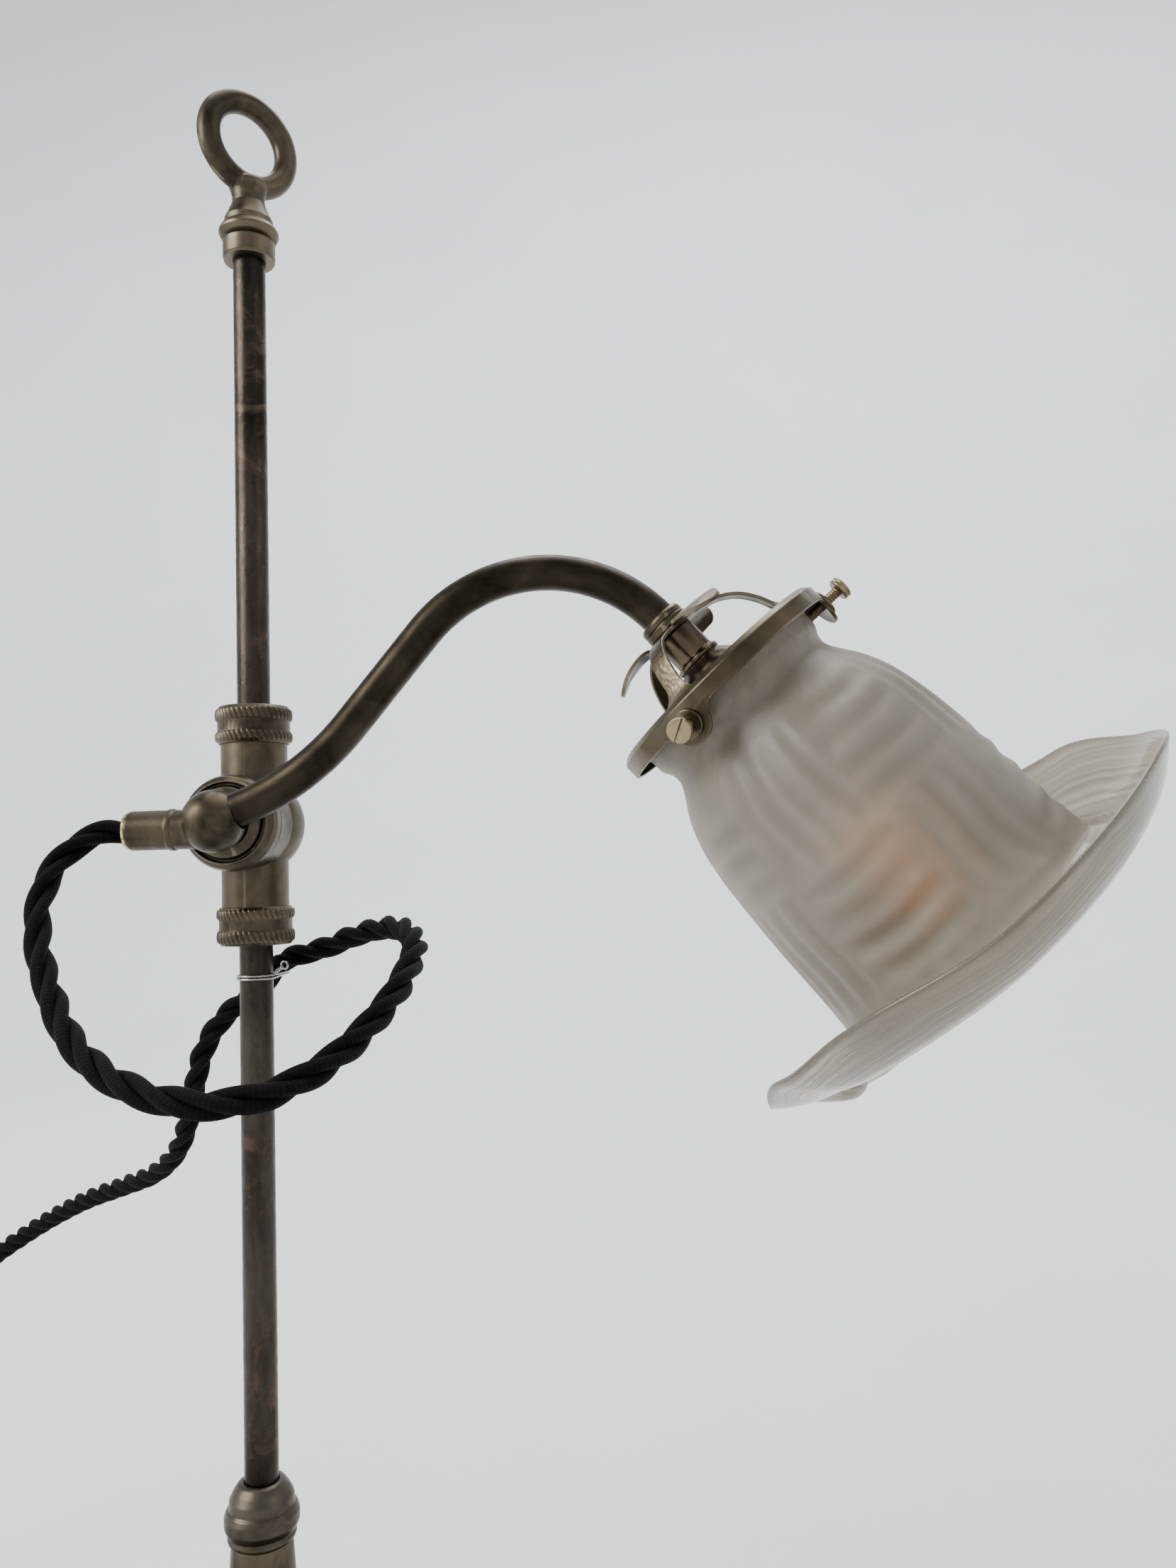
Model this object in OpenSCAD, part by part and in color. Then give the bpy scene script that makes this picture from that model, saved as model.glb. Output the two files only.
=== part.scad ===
// Student lamp: a weighted foot and rod, a friction slider that slides and swivels,
// and a swan-neck arm that tilts on a domed pivot and carries a glass bell shade.
// Z is up, the rod stands on the origin, and the arm points along +X.

/* [Foot and column] */
// Radius of the foot at the table
foot_r = 85; // [70:1:100]
// Height of the foot's shoulder, where the column stands
foot_h = 36; // [28:1:44]
// Thickness of the felt pad
felt_t = 2; // [1:0.5:3]
// Wall of the spun foot
foot_wall = 1.6; // [1:0.1:3]
// Radius of the column just under its collar
column_r = 10.7; // [9.5:0.1:13]
// Radius of the column where it stands on the foot
column_foot_r = 22; // [18:0.5:26]
// Height of the top of the column's collar
collar_top = 113; // [95:1:125]
// Radius of the column's collar bead
collar_r = 13.1; // [12:0.1:16]

/* [Rod and finial] */
// Diameter of the rod
rod_d = 12; // [10:0.5:14]
// Height of the rod's top end, under the finial
rod_top = 562; // [480:1:680]
// Centre-line radius of the finial's ring
ring_r = 16.1; // [13:0.1:20]
// Thickness of the finial's ring
ring_t = 8.6; // [7:0.1:10]
// Turn of the finial's ring about the rod, in degrees
ring_turn = 47; // [0:1:90]

/* [Slider] */
// Height of the arm's pivot above the table
pivot_z = 345.3; // [280:0.1:420]
// Outer radius of the sleeve
sleeve_r = 11.95; // [11.5:0.05:13]
// Half length of the slider, pivot to the end of a cap
slider_half = 43.6; // [38:0.1:50]
// Wall of the sleeve
sleeve_wall = 1.9; // [1.5:0.1:2.5]
// Height that a knurled ring stands proud of the sleeve
knurl_proud = 2; // [1:0.1:3]

/* [Pivot] */
// Radius of the ball housing on the sleeve
housing_r = 17.9; // [17:0.1:20]
// Distance from the rod's axis to the housing's front face
housing_face = 20.5; // [19:0.5:23]
// Radius of the arm's dome
dome_r = 16.9; // [15:0.1:18]
// Radius of the pivot bolt
bolt_r = 4; // [3:0.1:5]

/* [Arm] */
// Distance from the rod's axis to the arm's plane
arm_out = 41.5; // [39:0.5:46]
// Radius of the arm's ball
ball_r = 10.6; // [10:0.1:12]
// Outer radius of the arm's tube
tube_r = 5.95; // [5.5:0.05:6.5]
// Wall of the arm's tube
tube_wall = 1.3; // [0.8:0.1:1.8]
// Radius of the arm's lower bend
low_bend_r = 90; // [80:1:110]
// Radius of the arm's upper bend
top_bend_r = 52; // [45:1:60]
// Length of the straight between the bends
straight_l = 39.5; // [25:0.5:60]
// Slope of the straight, in degrees
rise_deg = 50; // [40:1:55]
// Slope of the head below level, in degrees
head_deg = 48; // [35:1:60]

/* [Cord inlet] */
// Outer radius of the inlet tube
inlet_r = 6.65; // [6.4:0.05:7.5]
// Distance from the pivot's axis to the inlet's mouth
inlet_l = 28.2; // [24:0.1:34]

/* [Gallery] */
// Height of the gallery's band
band_h = 6.2; // [5:0.1:8]
// Distance from the hub to the middle of the band
hub_up = 24.3; // [22:0.1:30]
// Width of a gallery arm
strap_w = 6.4; // [5:0.1:8]
// Thickness of the gallery's sheet metal
sheet_t = 1.2; // [1:0.1:1.6]
// Radius of a gallery screw
screw_r = 1.9; // [1.5:0.1:2.3]

/* [Glass shade] */
// Outer radius of the shade's neck
neck_r = 34.6; // [33.5:0.1:35.5]
// Thickness of the glass
glass_t = 2.6; // [2:0.1:3.5]
// Height that the shade's lip stands out from its neck
lip_proud = 3.7; // [3:0.1:5]
// Length from the band to the start of the brim
bell_l = 109; // [95:1:125]

/* [Bulb] */
// Radius of the bulb's glass
bulb_r = 27.5; // [20:0.5:29]
// Length of the bulb with its cap
bulb_l = 95; // [80:1:98]

/* [Cord] */
// Diameter of the twisted cord
cord_d = 8.6; // [7:0.1:8.8]
// Radius of the plug's body
plug_r = 17; // [14:0.5:20]

/* [Hidden] */

$fn = 64;
sides = 8;                  // sides of a cord's tube
run_gap = 0.05;             // radial clearance of a running fit
part_gap = 0.3;             // space between pieces that move past each other
rod_r = rod_d / 2;
cord_r = cord_d / 2;
bush_r = sleeve_r - sleeve_wall - run_gap;
knurl_r = sleeve_r + knurl_proud;
tube_in = tube_r - tube_wall;
passage_r = cord_r + 0.9;   // bore of the inlet
inlet_drop = 2.4;           // the inlet's axis lies this far under the pivot
mouth_x = -inlet_l;
fit_gap = 0.1;              // clearance of pieces that are assembled by hand

// the foot
weight_h = 10;              // thickness of the iron weight
nut_r = 11;
nut_h = 7;
washer_t = 1.6;
collar_h = 20;

// the arm's path in the plane of X and Z, as arcs and a straight
start_x = 5.7;
start_z = pivot_z + 2.8;
start_deg = 18;
low_c = [start_x - low_bend_r * sin(start_deg), start_z + low_bend_r * cos(start_deg)];
low_end = low_c + low_bend_r * [sin(rise_deg), -cos(rise_deg)];
top_start = low_end + straight_l * [cos(rise_deg), sin(rise_deg)];
top_c = top_start + top_bend_r * [sin(rise_deg), -cos(rise_deg)];
top_end = top_c + top_bend_r * [sin(head_deg), cos(head_deg)];

// along the head's axis, measured from the middle of the gallery's band
nut_h_head = 5.9;
nut_top = -hub_up - nut_h_head;
band_c = top_end - nut_top * [cos(head_deg), -sin(head_deg)];
shell_top = -2;
shell_end = 18;
cap_top = 12;
cap_l = 16;
shell_r = 13.6;
ear_d = 4;                  // the screws' axis below the middle of the band
ear_r = 7;
head_r = 3.9;
band_r = neck_r + lip_proud + sheet_t + 2.2;
screw_turns = [-30, 90, -150];
tongue_turns = [30, -90, 150];

// where the cord leaves things, and the coil
mouth = [mouth_x, -arm_out, pivot_z - inlet_drop];
cord_start_x = mouth_x + 4;
tie_z = 290;
coil_at = [-152, 5];
coil_r = 45.5;              // middle of the turns
coil_w = 3 * cord_d + 0.4;  // three turns side by side
coil_h = 1.86 * cord_d;     // two layers, nested
coil_lift = 1;              // the tie passes under the coil
coil_tie_turn = 215;        // where the tie is, round the coil
plug_at = [-112, -72];      // the cord's entry into the plug
plug_l = 34;

// ---------- shared shapes ----------

// turns a profile given as [radius, height] points
module turned(profile, fn = 96) {
    rotate_extrude($fn = fn) polygon(profile);
}

module tube(r, bore, h) {
    difference() {
        cylinder(r = r, h = h);
        translate([0, 0, -1]) cylinder(r = bore, h = h + 2);
    }
}

// heights along the pivot's axis, measured from the rod
module along_pivot(out = 0) {
    translate([0, -out, pivot_z]) rotate([90, 0, 0]) children();
}

// heights along the head's axis, measured from the middle of the band
module along_head(down = 0) {
    translate([band_c.x, -arm_out, band_c.y]) rotate([0, 90 + head_deg, 0])
        translate([0, 0, down]) children();
}

// turned about the head's axis: 0 is the front, positive is over the top
module head_turn(az) {
    rotate([0, 0, -90 - az]) children();
}

module arm_ball_space(r) {
    translate([0, -arm_out, pivot_z]) rotate([0, 0, 90]) sphere(r = r);
}

// the arm's centre line, from the ball's socket to the collar nut
low_steps = 7;
top_steps = 16;
function on_bend(c, r, a) = [c.x + r * cos(a), -arm_out, c.y + r * sin(a)];
function head_point(down) =
    [band_c.x + down * cos(head_deg), -arm_out, band_c.y - down * sin(head_deg)];
arm_route = [
    for (i = [0 : low_steps])
        on_bend(low_c, low_bend_r, start_deg - 90 + (rise_deg - start_deg) * i / low_steps),
    for (i = [0 : top_steps])
        on_bend(top_c, top_bend_r, 90 + rise_deg - (rise_deg + head_deg) * i / top_steps),
];

// ---------- a tube swept along a route ----------

function unit(v) = v / norm(v);
function square_to(n, t) = unit(n - (n * t) * t);
function directions(p) = [
    for (i = [0 : len(p) - 1])
        unit(p[min(i + 1, len(p) - 1)] - p[max(i - 1, 0)])
];
function normals(t, first) = [
    for (i = 0, n = square_to(first, t[0]); i < len(t);
         i = i + 1, n = i < len(t) ? square_to(n, t[i]) : n) n
];
function ring_points(p, t, n, r, m) = [
    for (i = [0 : len(p) - 1]) for (k = [0 : m - 1])
        let(a = 360 * k / m) p[i] + r * (cos(a) * n[i] + sin(a) * cross(t[i], n[i]))
];
function side_faces(rings, m) = [
    for (i = [0 : rings - 2]) for (k = [0 : m - 1])
        let(a = i * m + k, b = i * m + (k + 1) % m)
            each [[a, b + m, b], [a, a + m, b + m]]
];

module swept(p, r, first = [0, 0, 1], m = sides) {
    t = directions(p);
    last = (len(p) - 1) * m;
    polyhedron(
        points = ring_points(p, t, normals(t, first), r, m),
        faces = [
            [for (k = [0 : m - 1]) k],
            [for (k = [m - 1 : -1 : 0]) last + k],
            each side_faces(len(p), m)
        ],
        convexity = 8
    );
}

// ---------- the cord's route, point by point ----------

// leaves room between two lengths that follow different bodies
function parted(p, head, tail) = let(n = len(p)) [
    p[0] + head * unit(p[1] - p[0]),
    for (i = [1 : n - 2]) p[i],
    p[n - 1] + tail * unit(p[n - 2] - p[n - 1]),
];

cord_loop_route = [
    [cord_start_x, mouth.y, mouth.z], [mouth_x, mouth.y, mouth.z],
    [-35, -43, 343], [-43, -47, 339], [-48, -54, 331], [-48, -63, 320],
    [-43, -73, 307], [-34, -84, 295], [-21, -98, 283], [-6, -110, 275],
    [11, -119, 270], [27, -123, 268], [41, -120, 269], [52, -111, 273],
    [60, -98, 279], [66, -83, 287], [68.7, -71, 293], [69, -64, 296],
];
cord_link_route = [
    [69, -64, 296], [69.3, -57, 299], [68, -46, 303], [61, -29, 307], [50, -14, 307],
    [37, -2, 304], [24, 7, 299.5], [14, 12, 297], [5, 15.4, 294.2], [1, 16, tie_z],
];
cord_tail_route = [
    [1, 16, tie_z], [-3, 16.6, 285.8], [-9, 17.5, 281], [-16, 18.5, 276], [-23, 20, 269],
    [-29, 22, 259], [-34, 27, 246], [-40, 35, 231], [-49, 46, 217], [-64, 61, 205],
    [-86, 79, 195], [-110, 96, 185], [-132, 110, 174], [-153, 121, 162], [-173, 128, 149],
    [-192, 130, 132], [-208, 127, 111], [-219, 119, 86], [-225, 107, 59], [-226, 91, 34],
    [-222, 73, 16], [-216, 54, 7], [-211, 34, 5.3],
];
plug_lead_route = [
    [-131, -55, 12], [-124, -56, 13.5], [-117.5, -59.5, 15.5], [-113.3, -65.5, 16.8],
    [plug_at.x, plug_at.y, plug_r],
];

// ---------- foot and column ----------

rim_h = felt_t + weight_h + 1;
foot_outline = [
    [0, foot_h], [column_foot_r, foot_h], [column_foot_r + 4, foot_h - 2],
    [foot_r * 0.42, foot_h - 9], [foot_r * 0.56, foot_h - 13.4], [foot_r * 0.7, foot_h - 16.4],
    [foot_r * 0.84, rim_h + 4.4], [foot_r * 0.87, rim_h + 4.4], [foot_r * 0.885, rim_h + 3],
    [foot_r - 4.4, rim_h + 2.4], [foot_r - 1.6, rim_h + 1], [foot_r, rim_h - 1.6],
    [foot_r, felt_t + 1.5], [foot_r - 1.5, felt_t], [0, felt_t],
];

module foot_shell() color("#5a5040") difference() {
    turned(foot_outline);
    translate([0, 0, felt_t - 1]) cylinder(r = foot_r - foot_wall - 1.4, h = weight_h + 1);
    translate([0, 0, felt_t + weight_h - 0.1])
        cylinder(r1 = foot_r * 0.7, r2 = column_foot_r, h = foot_h - weight_h - felt_t - 4);
    cylinder(r = rod_r + fit_gap, h = foot_h + 1);
}

module foot_weight() color("#3a3836") difference() {
    translate([0, 0, felt_t]) 
        cylinder(r = foot_r - foot_wall - 1.4 - fit_gap, h = weight_h - fit_gap);
    translate([0, 0, felt_t - 1]) cylinder(r = rod_r + fit_gap, h = weight_h + 2);
    translate([0, 0, felt_t - 1]) cylinder(r = nut_r + 3, h = nut_h + washer_t + 1 + fit_gap);
}

module felt_pad() color("#2f3b2c") cylinder(r = foot_r - 4, h = felt_t);

module foot_washer() color("#8a8378") translate([0, 0, felt_t + nut_h])
    tube(nut_r + 1, rod_r + fit_gap, washer_t);

module foot_nut() color("#7a746a") translate([0, 0, felt_t]) difference() {
    cylinder(r = nut_r, h = nut_h - fit_gap, $fn = 6);
    translate([0, 0, -1]) cylinder(r = rod_r + fit_gap, h = nut_h + 2);
}

column_outline = [
    [rod_r + fit_gap, foot_h], [column_foot_r, foot_h], [column_foot_r, foot_h + 3],
    [column_foot_r - 1.5, foot_h + 4.5], [column_foot_r - 5, foot_h + 9],
    [column_r + 4.5, foot_h + 18], [column_r + 2.2, foot_h + 31], [column_r + 0.9, foot_h + 43],
    [column_r, collar_top - collar_h], [rod_r + fit_gap, collar_top - collar_h],
];

module column() color("#5f5543") turned(column_outline);

collar_outline = [
    [rod_r + fit_gap, collar_top - collar_h], [column_r + 0.8, collar_top - collar_h],
    [column_r + 1.4, collar_top - collar_h + 1.5], [column_r + 0.8, collar_top - collar_h + 3],
    [collar_r - 0.9, collar_top - collar_h + 3.6], [collar_r, collar_top - collar_h + 5.6],
    [collar_r, collar_top - collar_h + 9], [collar_r - 0.9, collar_top - collar_h + 11],
    [collar_r - 1.6, collar_top - collar_h + 11.6], [collar_r - 1.9, collar_top - collar_h + 14.5],
    [collar_r - 3.4, collar_top - 2.6], [rod_r + 2.2, collar_top - 0.6],
    [rod_r + 1, collar_top], [rod_r + fit_gap, collar_top],
];

module column_collar() color("#6e634e") turned(collar_outline);

// ---------- rod and finial ----------

finial_z = rod_top + 44.6;  // centre of the ring

module rod() color("#4a4038") translate([0, 0, felt_t]) cylinder(r = rod_r, h = rod_top + 8 - felt_t);

finial_collar_outline = [
    [rod_r + fit_gap, rod_top - 2], [9.3, rod_top - 2], [9.7, rod_top - 1], [9.7, rod_top + 5],
    [9, rod_top + 6.2], [10.2, rod_top + 6.8], [11.1, rod_top + 8.4], [11.1, rod_top + 9.4],
    [10.2, rod_top + 11], [9.2, rod_top + 12], [0, rod_top + 12], [0, rod_top + 8],
    [rod_r + fit_gap, rod_top + 8],
];

module finial_collar() color("#6b6050") turned(finial_collar_outline);

finial_neck_outline = [
    [0, rod_top + 12], [8.8, rod_top + 12], [9, rod_top + 14], [7.6, rod_top + 17],
    [6.2, rod_top + 20.5], [6, rod_top + 22.5], [6.5, rod_top + 25], [7.3, rod_top + 27],
    [7.3, rod_top + 28.4], [6.4, rod_top + 29.6], [0, rod_top + 31],
];

module finial_ring() color("#6b6050") {
    turned(finial_neck_outline);
    translate([0, 0, finial_z]) rotate([0, 0, ring_turn]) rotate([90, 0, 0])
        rotate_extrude($fn = 96) translate([ring_r, 0]) circle(r = ring_t / 2);
}

// ---------- the slider ----------

bush_l = 12;

module friction_bushes() color("#6a4a35") {
    for (z = [pivot_z + slider_half - 1.6 - bush_l, pivot_z - slider_half + 1.6])
        translate([0, 0, z]) tube(bush_r, rod_r + run_gap, bush_l);
}

tie_r = rod_r + 1.1;
tie_wire_r = 0.4;

module wire_tie() color("#b9b9b4") translate([0, 0, tie_z]) {
    span = 15.8;
    for (side = [-1, 1]) translate([side * tie_r, 0, 0]) rotate([-90, 0, 0])
        cylinder(r = tie_wire_r, h = span);
    rotate([0, 0, 180]) rotate_extrude(angle = 180) translate([tie_r, 0]) circle(r = tie_wire_r);
    translate([0, span, 0]) rotate_extrude(angle = 180) translate([tie_r, 0]) circle(r = tie_wire_r);
    translate([tie_r, 1, 0]) rotate([0, 70, 0]) cylinder(r = 0.7, h = 5);
}

sleeve_half = slider_half - 10;
cap_start = slider_half - 13.7;

module slider_sleeve() color("#5c5242") translate([0, 0, pivot_z - sleeve_half])
    tube(sleeve_r, sleeve_r - sleeve_wall, 2 * sleeve_half);

// a cap's outline from its inner end to the slider's end, as [radius, height]
cap_inner = sleeve_r - sleeve_wall;
cap_outline = [
    [sleeve_r, cap_start], [knurl_r - 1.1, cap_start], [knurl_r - 1.1, cap_start + 0.6],
    [knurl_r, cap_start + 0.9], [knurl_r, cap_start + 4.1], [knurl_r - 0.9, cap_start + 4.7],
    [knurl_r - 0.9, cap_start + 8.2], [knurl_r, cap_start + 8.7], [knurl_r, cap_start + 12.6],
    [knurl_r - 1.1, cap_start + 13], [knurl_r - 1.4, slider_half], [rod_r + 0.6, slider_half],
    [rod_r + 0.6, slider_half - 1.3], [cap_inner, slider_half - 1.3],
    [cap_inner, sleeve_half], [sleeve_r, sleeve_half],
];

module upper_cap() color("#665b49") translate([0, 0, pivot_z]) turned(cap_outline);

module lower_cap() color("#665b49") translate([0, 0, pivot_z]) mirror([0, 0, 1]) turned(cap_outline);

module pivot_housing() color("#5d5343") difference() {
    union() {
        translate([0, 0, pivot_z]) sphere(r = housing_r, $fn = 96);
        along_pivot() cylinder(r = dome_r - 0.6, h = housing_face);
    }
    translate([0, 0, pivot_z - housing_r - 1]) cylinder(r = sleeve_r, h = 2 * housing_r + 2);
    along_pivot() cylinder(r = bolt_r + run_gap, h = housing_face + 1);
    along_pivot(housing_face - washer_recess) cylinder(r = washer_r + fit_gap, h = washer_recess + 1);
}

washer_recess = 2;
washer_r = 12.5;

module friction_washer() color("#7b3f2a") along_pivot(housing_face - washer_recess)
    tube(washer_r, bolt_r + 0.4, washer_recess);

// ---------- the arm ----------

dome_start = housing_face + part_gap;
dome_end = arm_out - ball_r + 2;

dome_outline = [
    [bolt_r, dome_start], [dome_r - 1, dome_start], [dome_r, dome_start + 1.2],
    [dome_r, dome_start + 5], [dome_r - 0.9, dome_start + 7.6], [dome_r - 2.3, dome_start + 8.8],
    [dome_r - 2.3, dome_start + 9.6], [dome_r - 3, dome_start + 10.1],
    [dome_r - 3.2, dome_start + 8.4], [dome_r - 4.2, dome_start + 8.4],
    [dome_r - 4.6, dome_start + 10.6], [bolt_r + 3.4, dome_end + 0.6], [bolt_r, dome_end + 0.6],
];

module pivot_dome() color("#5d5343") difference() {
    along_pivot() turned(dome_outline);
    arm_ball_space(ball_r);
}

module pivot_bolt() color("#8a8270") difference() {
    along_pivot(sleeve_r + 0.6) cylinder(r = bolt_r, h = dome_end - sleeve_r);
    arm_ball_space(ball_r);
}

module arm_ball() color("#6a5f4c") difference() {
    arm_ball_space(ball_r);
    translate([-ball_r - 1, -arm_out, pivot_z - inlet_drop]) rotate([0, 90, 0])
        cylinder(r = cord_r, h = ball_r + 2);
    translate([start_x, -arm_out, start_z]) rotate([0, 90 - start_deg, 0])
        cylinder(r = tube_r, h = ball_r);
}

module cord_inlet() color("#70654e") difference() {
    translate(mouth) rotate([0, 90, 0]) tube(inlet_r, passage_r, inlet_l);
    arm_ball_space(ball_r);
    translate([0, -arm_out - 20, pivot_z - 20]) cube(40);
}

module inlet_bush() color("#c9a24a") translate([mouth_x - 0.8, mouth.y, mouth.z]) rotate([0, 90, 0])
    tube(inlet_r - 0.5, cord_r + fit_gap, 0.8);

arm_sides = 24;

module arm_tube() color("#6a604a") difference() {
    swept(concat(arm_route, [head_point(-hub_up)]), tube_r, [0, 1, 0], arm_sides);
    swept(
        concat([2 * arm_route[0] - arm_route[1]], arm_route, [head_point(-hub_up + 1)]),
        tube_in, [0, 1, 0], arm_sides
    );
}

flex_r = 2.6;
flex_end = 20;
inner_route = concat(
    [[cord_start_x, mouth.y, mouth.z], [-6, -arm_out, mouth.z], [0, -arm_out, pivot_z]],
    arm_route, [head_point(-flex_end)]
);

module inner_flex() color("#22201e") swept(inner_route, flex_r, [0, 1, 0]);

module collar_nut() color("#857a64") along_head() turned([
    [tube_r, nut_top - 0.2], [tube_r + 1.25, nut_top - 0.2], [tube_r + 1.95, nut_top + 0.8],
    [tube_r + 2.05, -hub_up - 0.8], [tube_r + 1.65, -hub_up], [tube_r, -hub_up],
]);

module threaded_nipple() color("#a08a55") along_head(nut_top + 1)
    tube(tube_in - fit_gap, tube_in - 1, nut_h_head + 7);

// ---------- the gallery ----------

// the sheet's outer face from the hub to the rim, and the band
hub_hole = tube_in + 0.35;
band_top = -band_h / 2 - 0.9;
strap_outline = [
    [hub_hole, -hub_up], [9.6, -hub_up], [band_r - 23.2, -hub_up + 1.9],
    [band_r - 17.1, -hub_up + 5.9], [band_r - 13.1, -hub_up + 11.6],
    [band_r - 10.5, -hub_up + 18], [band_r - 6.7, band_top], [band_r - 5.7, band_top],
    [band_r - 5.7, band_top + sheet_t], [band_r - 7.3, band_top + sheet_t],
    [band_r - 10.5 - sheet_t, -hub_up + 18.4], [band_r - 13.1 - sheet_t, -hub_up + 12.1],
    [band_r - 17.1 - sheet_t, -hub_up + 6.9], [band_r - 23.7, -hub_up + 1.9 + sheet_t],
    [9.6, -hub_up + sheet_t], [hub_hole, -hub_up + sheet_t],
];
band_outline = [
    [neck_r, band_top], [band_r - 2, band_top], [band_r, -band_h / 2 + 0.9],
    [band_r, band_h / 2], [band_r - sheet_t, band_h / 2], [band_r - sheet_t, -band_h / 2 + sheet_t],
    [band_r - 2.4, band_top + sheet_t], [neck_r, band_top + sheet_t],
];
tongue_outline = [
    [tube_r + 2.05, -hub_up], [16, -hub_up - 0.6], [22, -hub_up + 0.6], [27.5, -hub_up + 4.4],
    [26.9, -hub_up + 5.3], [21.7, -hub_up + 1.8], [16, -hub_up + 0.6],
    [tube_r + 2.05, -hub_up + sheet_t],
];

module gallery() color("#968c72") along_head() difference() {
    union() {
        intersection() {
            turned(strap_outline);
            union() {
                cylinder(r = 10.2, h = 4 * hub_up, center = true);
                for (az = screw_turns) head_turn(az)
                    translate([0, -strap_w / 2, -2 * hub_up]) cube([60, strap_w, 4 * hub_up]);
            }
        }
        turned(band_outline);
        intersection() {
            turned(tongue_outline);
            for (az = tongue_turns) head_turn(az) {
                translate([18, 0, -40]) cylinder(r = 8.8, h = 40);
                translate([0, -3, -40]) cube([14, 6, 40]);
            }
        }
        for (az = screw_turns) intersection() {
            translate([0, 0, -1]) tube(band_r, band_r - sheet_t, 20);
            head_turn(az) translate([0, 0, ear_d]) rotate([0, 90, 0]) cylinder(r = ear_r, h = 60);
        }
    }
    for (az = screw_turns) head_turn(az) translate([0, 0, ear_d]) rotate([0, 90, 0])
        cylinder(r = screw_r + fit_gap, h = 60);
}

screw_tip = neck_r + 0.5;
screw_head_at = band_r + 6.5;
screw_head_h = 2.6;

module gallery_screws() color("#a8925a") along_head(ear_d) for (az = screw_turns) head_turn(az)
    rotate([0, 90, 0]) difference() {
        union() {
            translate([0, 0, screw_tip]) cylinder(r = screw_r, h = screw_head_at - screw_tip);
            translate([0, 0, screw_head_at]) cylinder(r = head_r, h = screw_head_h);
        }
        translate([-head_r - 1, -0.4, screw_head_at + screw_head_h - 1]) cube([2 * head_r + 2, 0.8, 2]);
    }

module gallery_locknuts() color("#a8925a") along_head(ear_d) for (az = screw_turns) head_turn(az)
    translate([band_r + fit_gap, 0, 0]) rotate([0, 90, 0]) tube(head_r + 0.8, screw_r + fit_gap, 1.3);

// ---------- lampholder and bulb ----------

module lampholder_dome() color("#8f7b4e") along_head() turned([
    [tube_in, -hub_up + sheet_t], [7, -hub_up + sheet_t], [7, -12.6], [8.2, -12.2], [8.2, -10.8],
    [7.6, -10.4], [10.6, -7.6], [12.6, -5.2], [14, shell_top - 1], [14, shell_top],
    [12.4, shell_top], [11, -4.8], [6, -9.6], [tube_in, -9.6],
]);

module lampholder_shell() color("#8f7b4e") along_head() turned([
    [shell_r - 1.1, shell_top], [shell_r, shell_top], [shell_r, shell_end - 3],
    [shell_r + 0.8, shell_end - 2.4], [shell_r + 0.8, shell_end], [shell_r - 1.1, shell_end],
]);

module lampholder_insulator() color("#e8e2d4") along_head(shell_top + 3) difference() {
    cylinder(r = shell_r - 1.1 - fit_gap, h = 6);
    for (side = [-1, 1]) translate([side * 4, 0, -1]) cylinder(r = 1.5, h = 8);
}

module contact_plungers() color("#c9a24a") along_head(shell_top + 3.4)
    for (side = [-1, 1]) translate([side * 4, 0, 0]) cylinder(r = 1.5 - fit_gap, h = cap_top - shell_top - 3.5);

bulb_cap_r = 11;
bulb_end = cap_top + bulb_l;
globe_at = bulb_end - bulb_r;
bulb_t = 0.8;

// the bulb's outside: a globe that runs into the cap on a curve
function bulb_profile(r, neck) = [
    for (a = [-90 : 10 : 40]) [r * cos(a), globe_at - r * sin(a)],
    [r * 0.66, globe_at - r * 0.86], [(r * 0.5 + neck) / 2, globe_at - r * 1.12],
    [neck, cap_top + cap_l + 4], [neck, cap_top + cap_l],
];

module bulb_cap() color("#b8a26a") along_head() difference() {
    union() {
        translate([0, 0, cap_top]) cylinder(r = bulb_cap_r, h = cap_l);
        translate([0, 0, cap_top + 6]) rotate([90, 0, 0])
            cylinder(r = 1, h = 2 * bulb_cap_r + 2.2, center = true);
    }
    translate([0, 0, cap_top + 2]) cylinder(r = bulb_cap_r - 1, h = cap_l);
}

module bulb_glass() color("#ffd9a0", 0.5) along_head() rotate_extrude($fn = 96) difference() {
    polygon(concat(bulb_profile(bulb_r, bulb_cap_r - 0.4), [[0, cap_top + cap_l]]));
    polygon(concat(bulb_profile(bulb_r - bulb_t, bulb_cap_r - 0.4 - bulb_t), [[0, cap_top + cap_l - 1]]));
}

stem_end = cap_top + cap_l + 22;
filament_r = 0.45;

module bulb_filament() color("#d9b070") along_head() {
    translate([0, 0, cap_top + 3]) cylinder(r = 3, h = stem_end - cap_top - 3);
    for (k = [0 : 3]) rotate([0, 0, 90 * k + 45]) translate([2, 0, stem_end - 1])
        rotate([0, 14, 0]) cylinder(r = filament_r, h = 26);
}

// ---------- the glass shade ----------

// the bell's outside as [radius, distance below the band's middle]
bell_outline = [
    [neck_r + lip_proud - 0.5, -2.4], [neck_r + lip_proud, -1.2],
    [neck_r + lip_proud - 1.3, 0.6], [neck_r, 1.8], [neck_r - 0.2, 7], [neck_r - 2, 10.5],
    [neck_r - 2.2, 13.5], [neck_r, 18], [neck_r + 3.8, 24], [neck_r + 7.6, 33],
    [neck_r + 10.2, 45], [neck_r + 11.8, 60], [neck_r + 13, 76], [neck_r + 13.7, bell_l - 17],
    [neck_r + 14.3, bell_l - 6], [neck_r + 15, bell_l],
];

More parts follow.
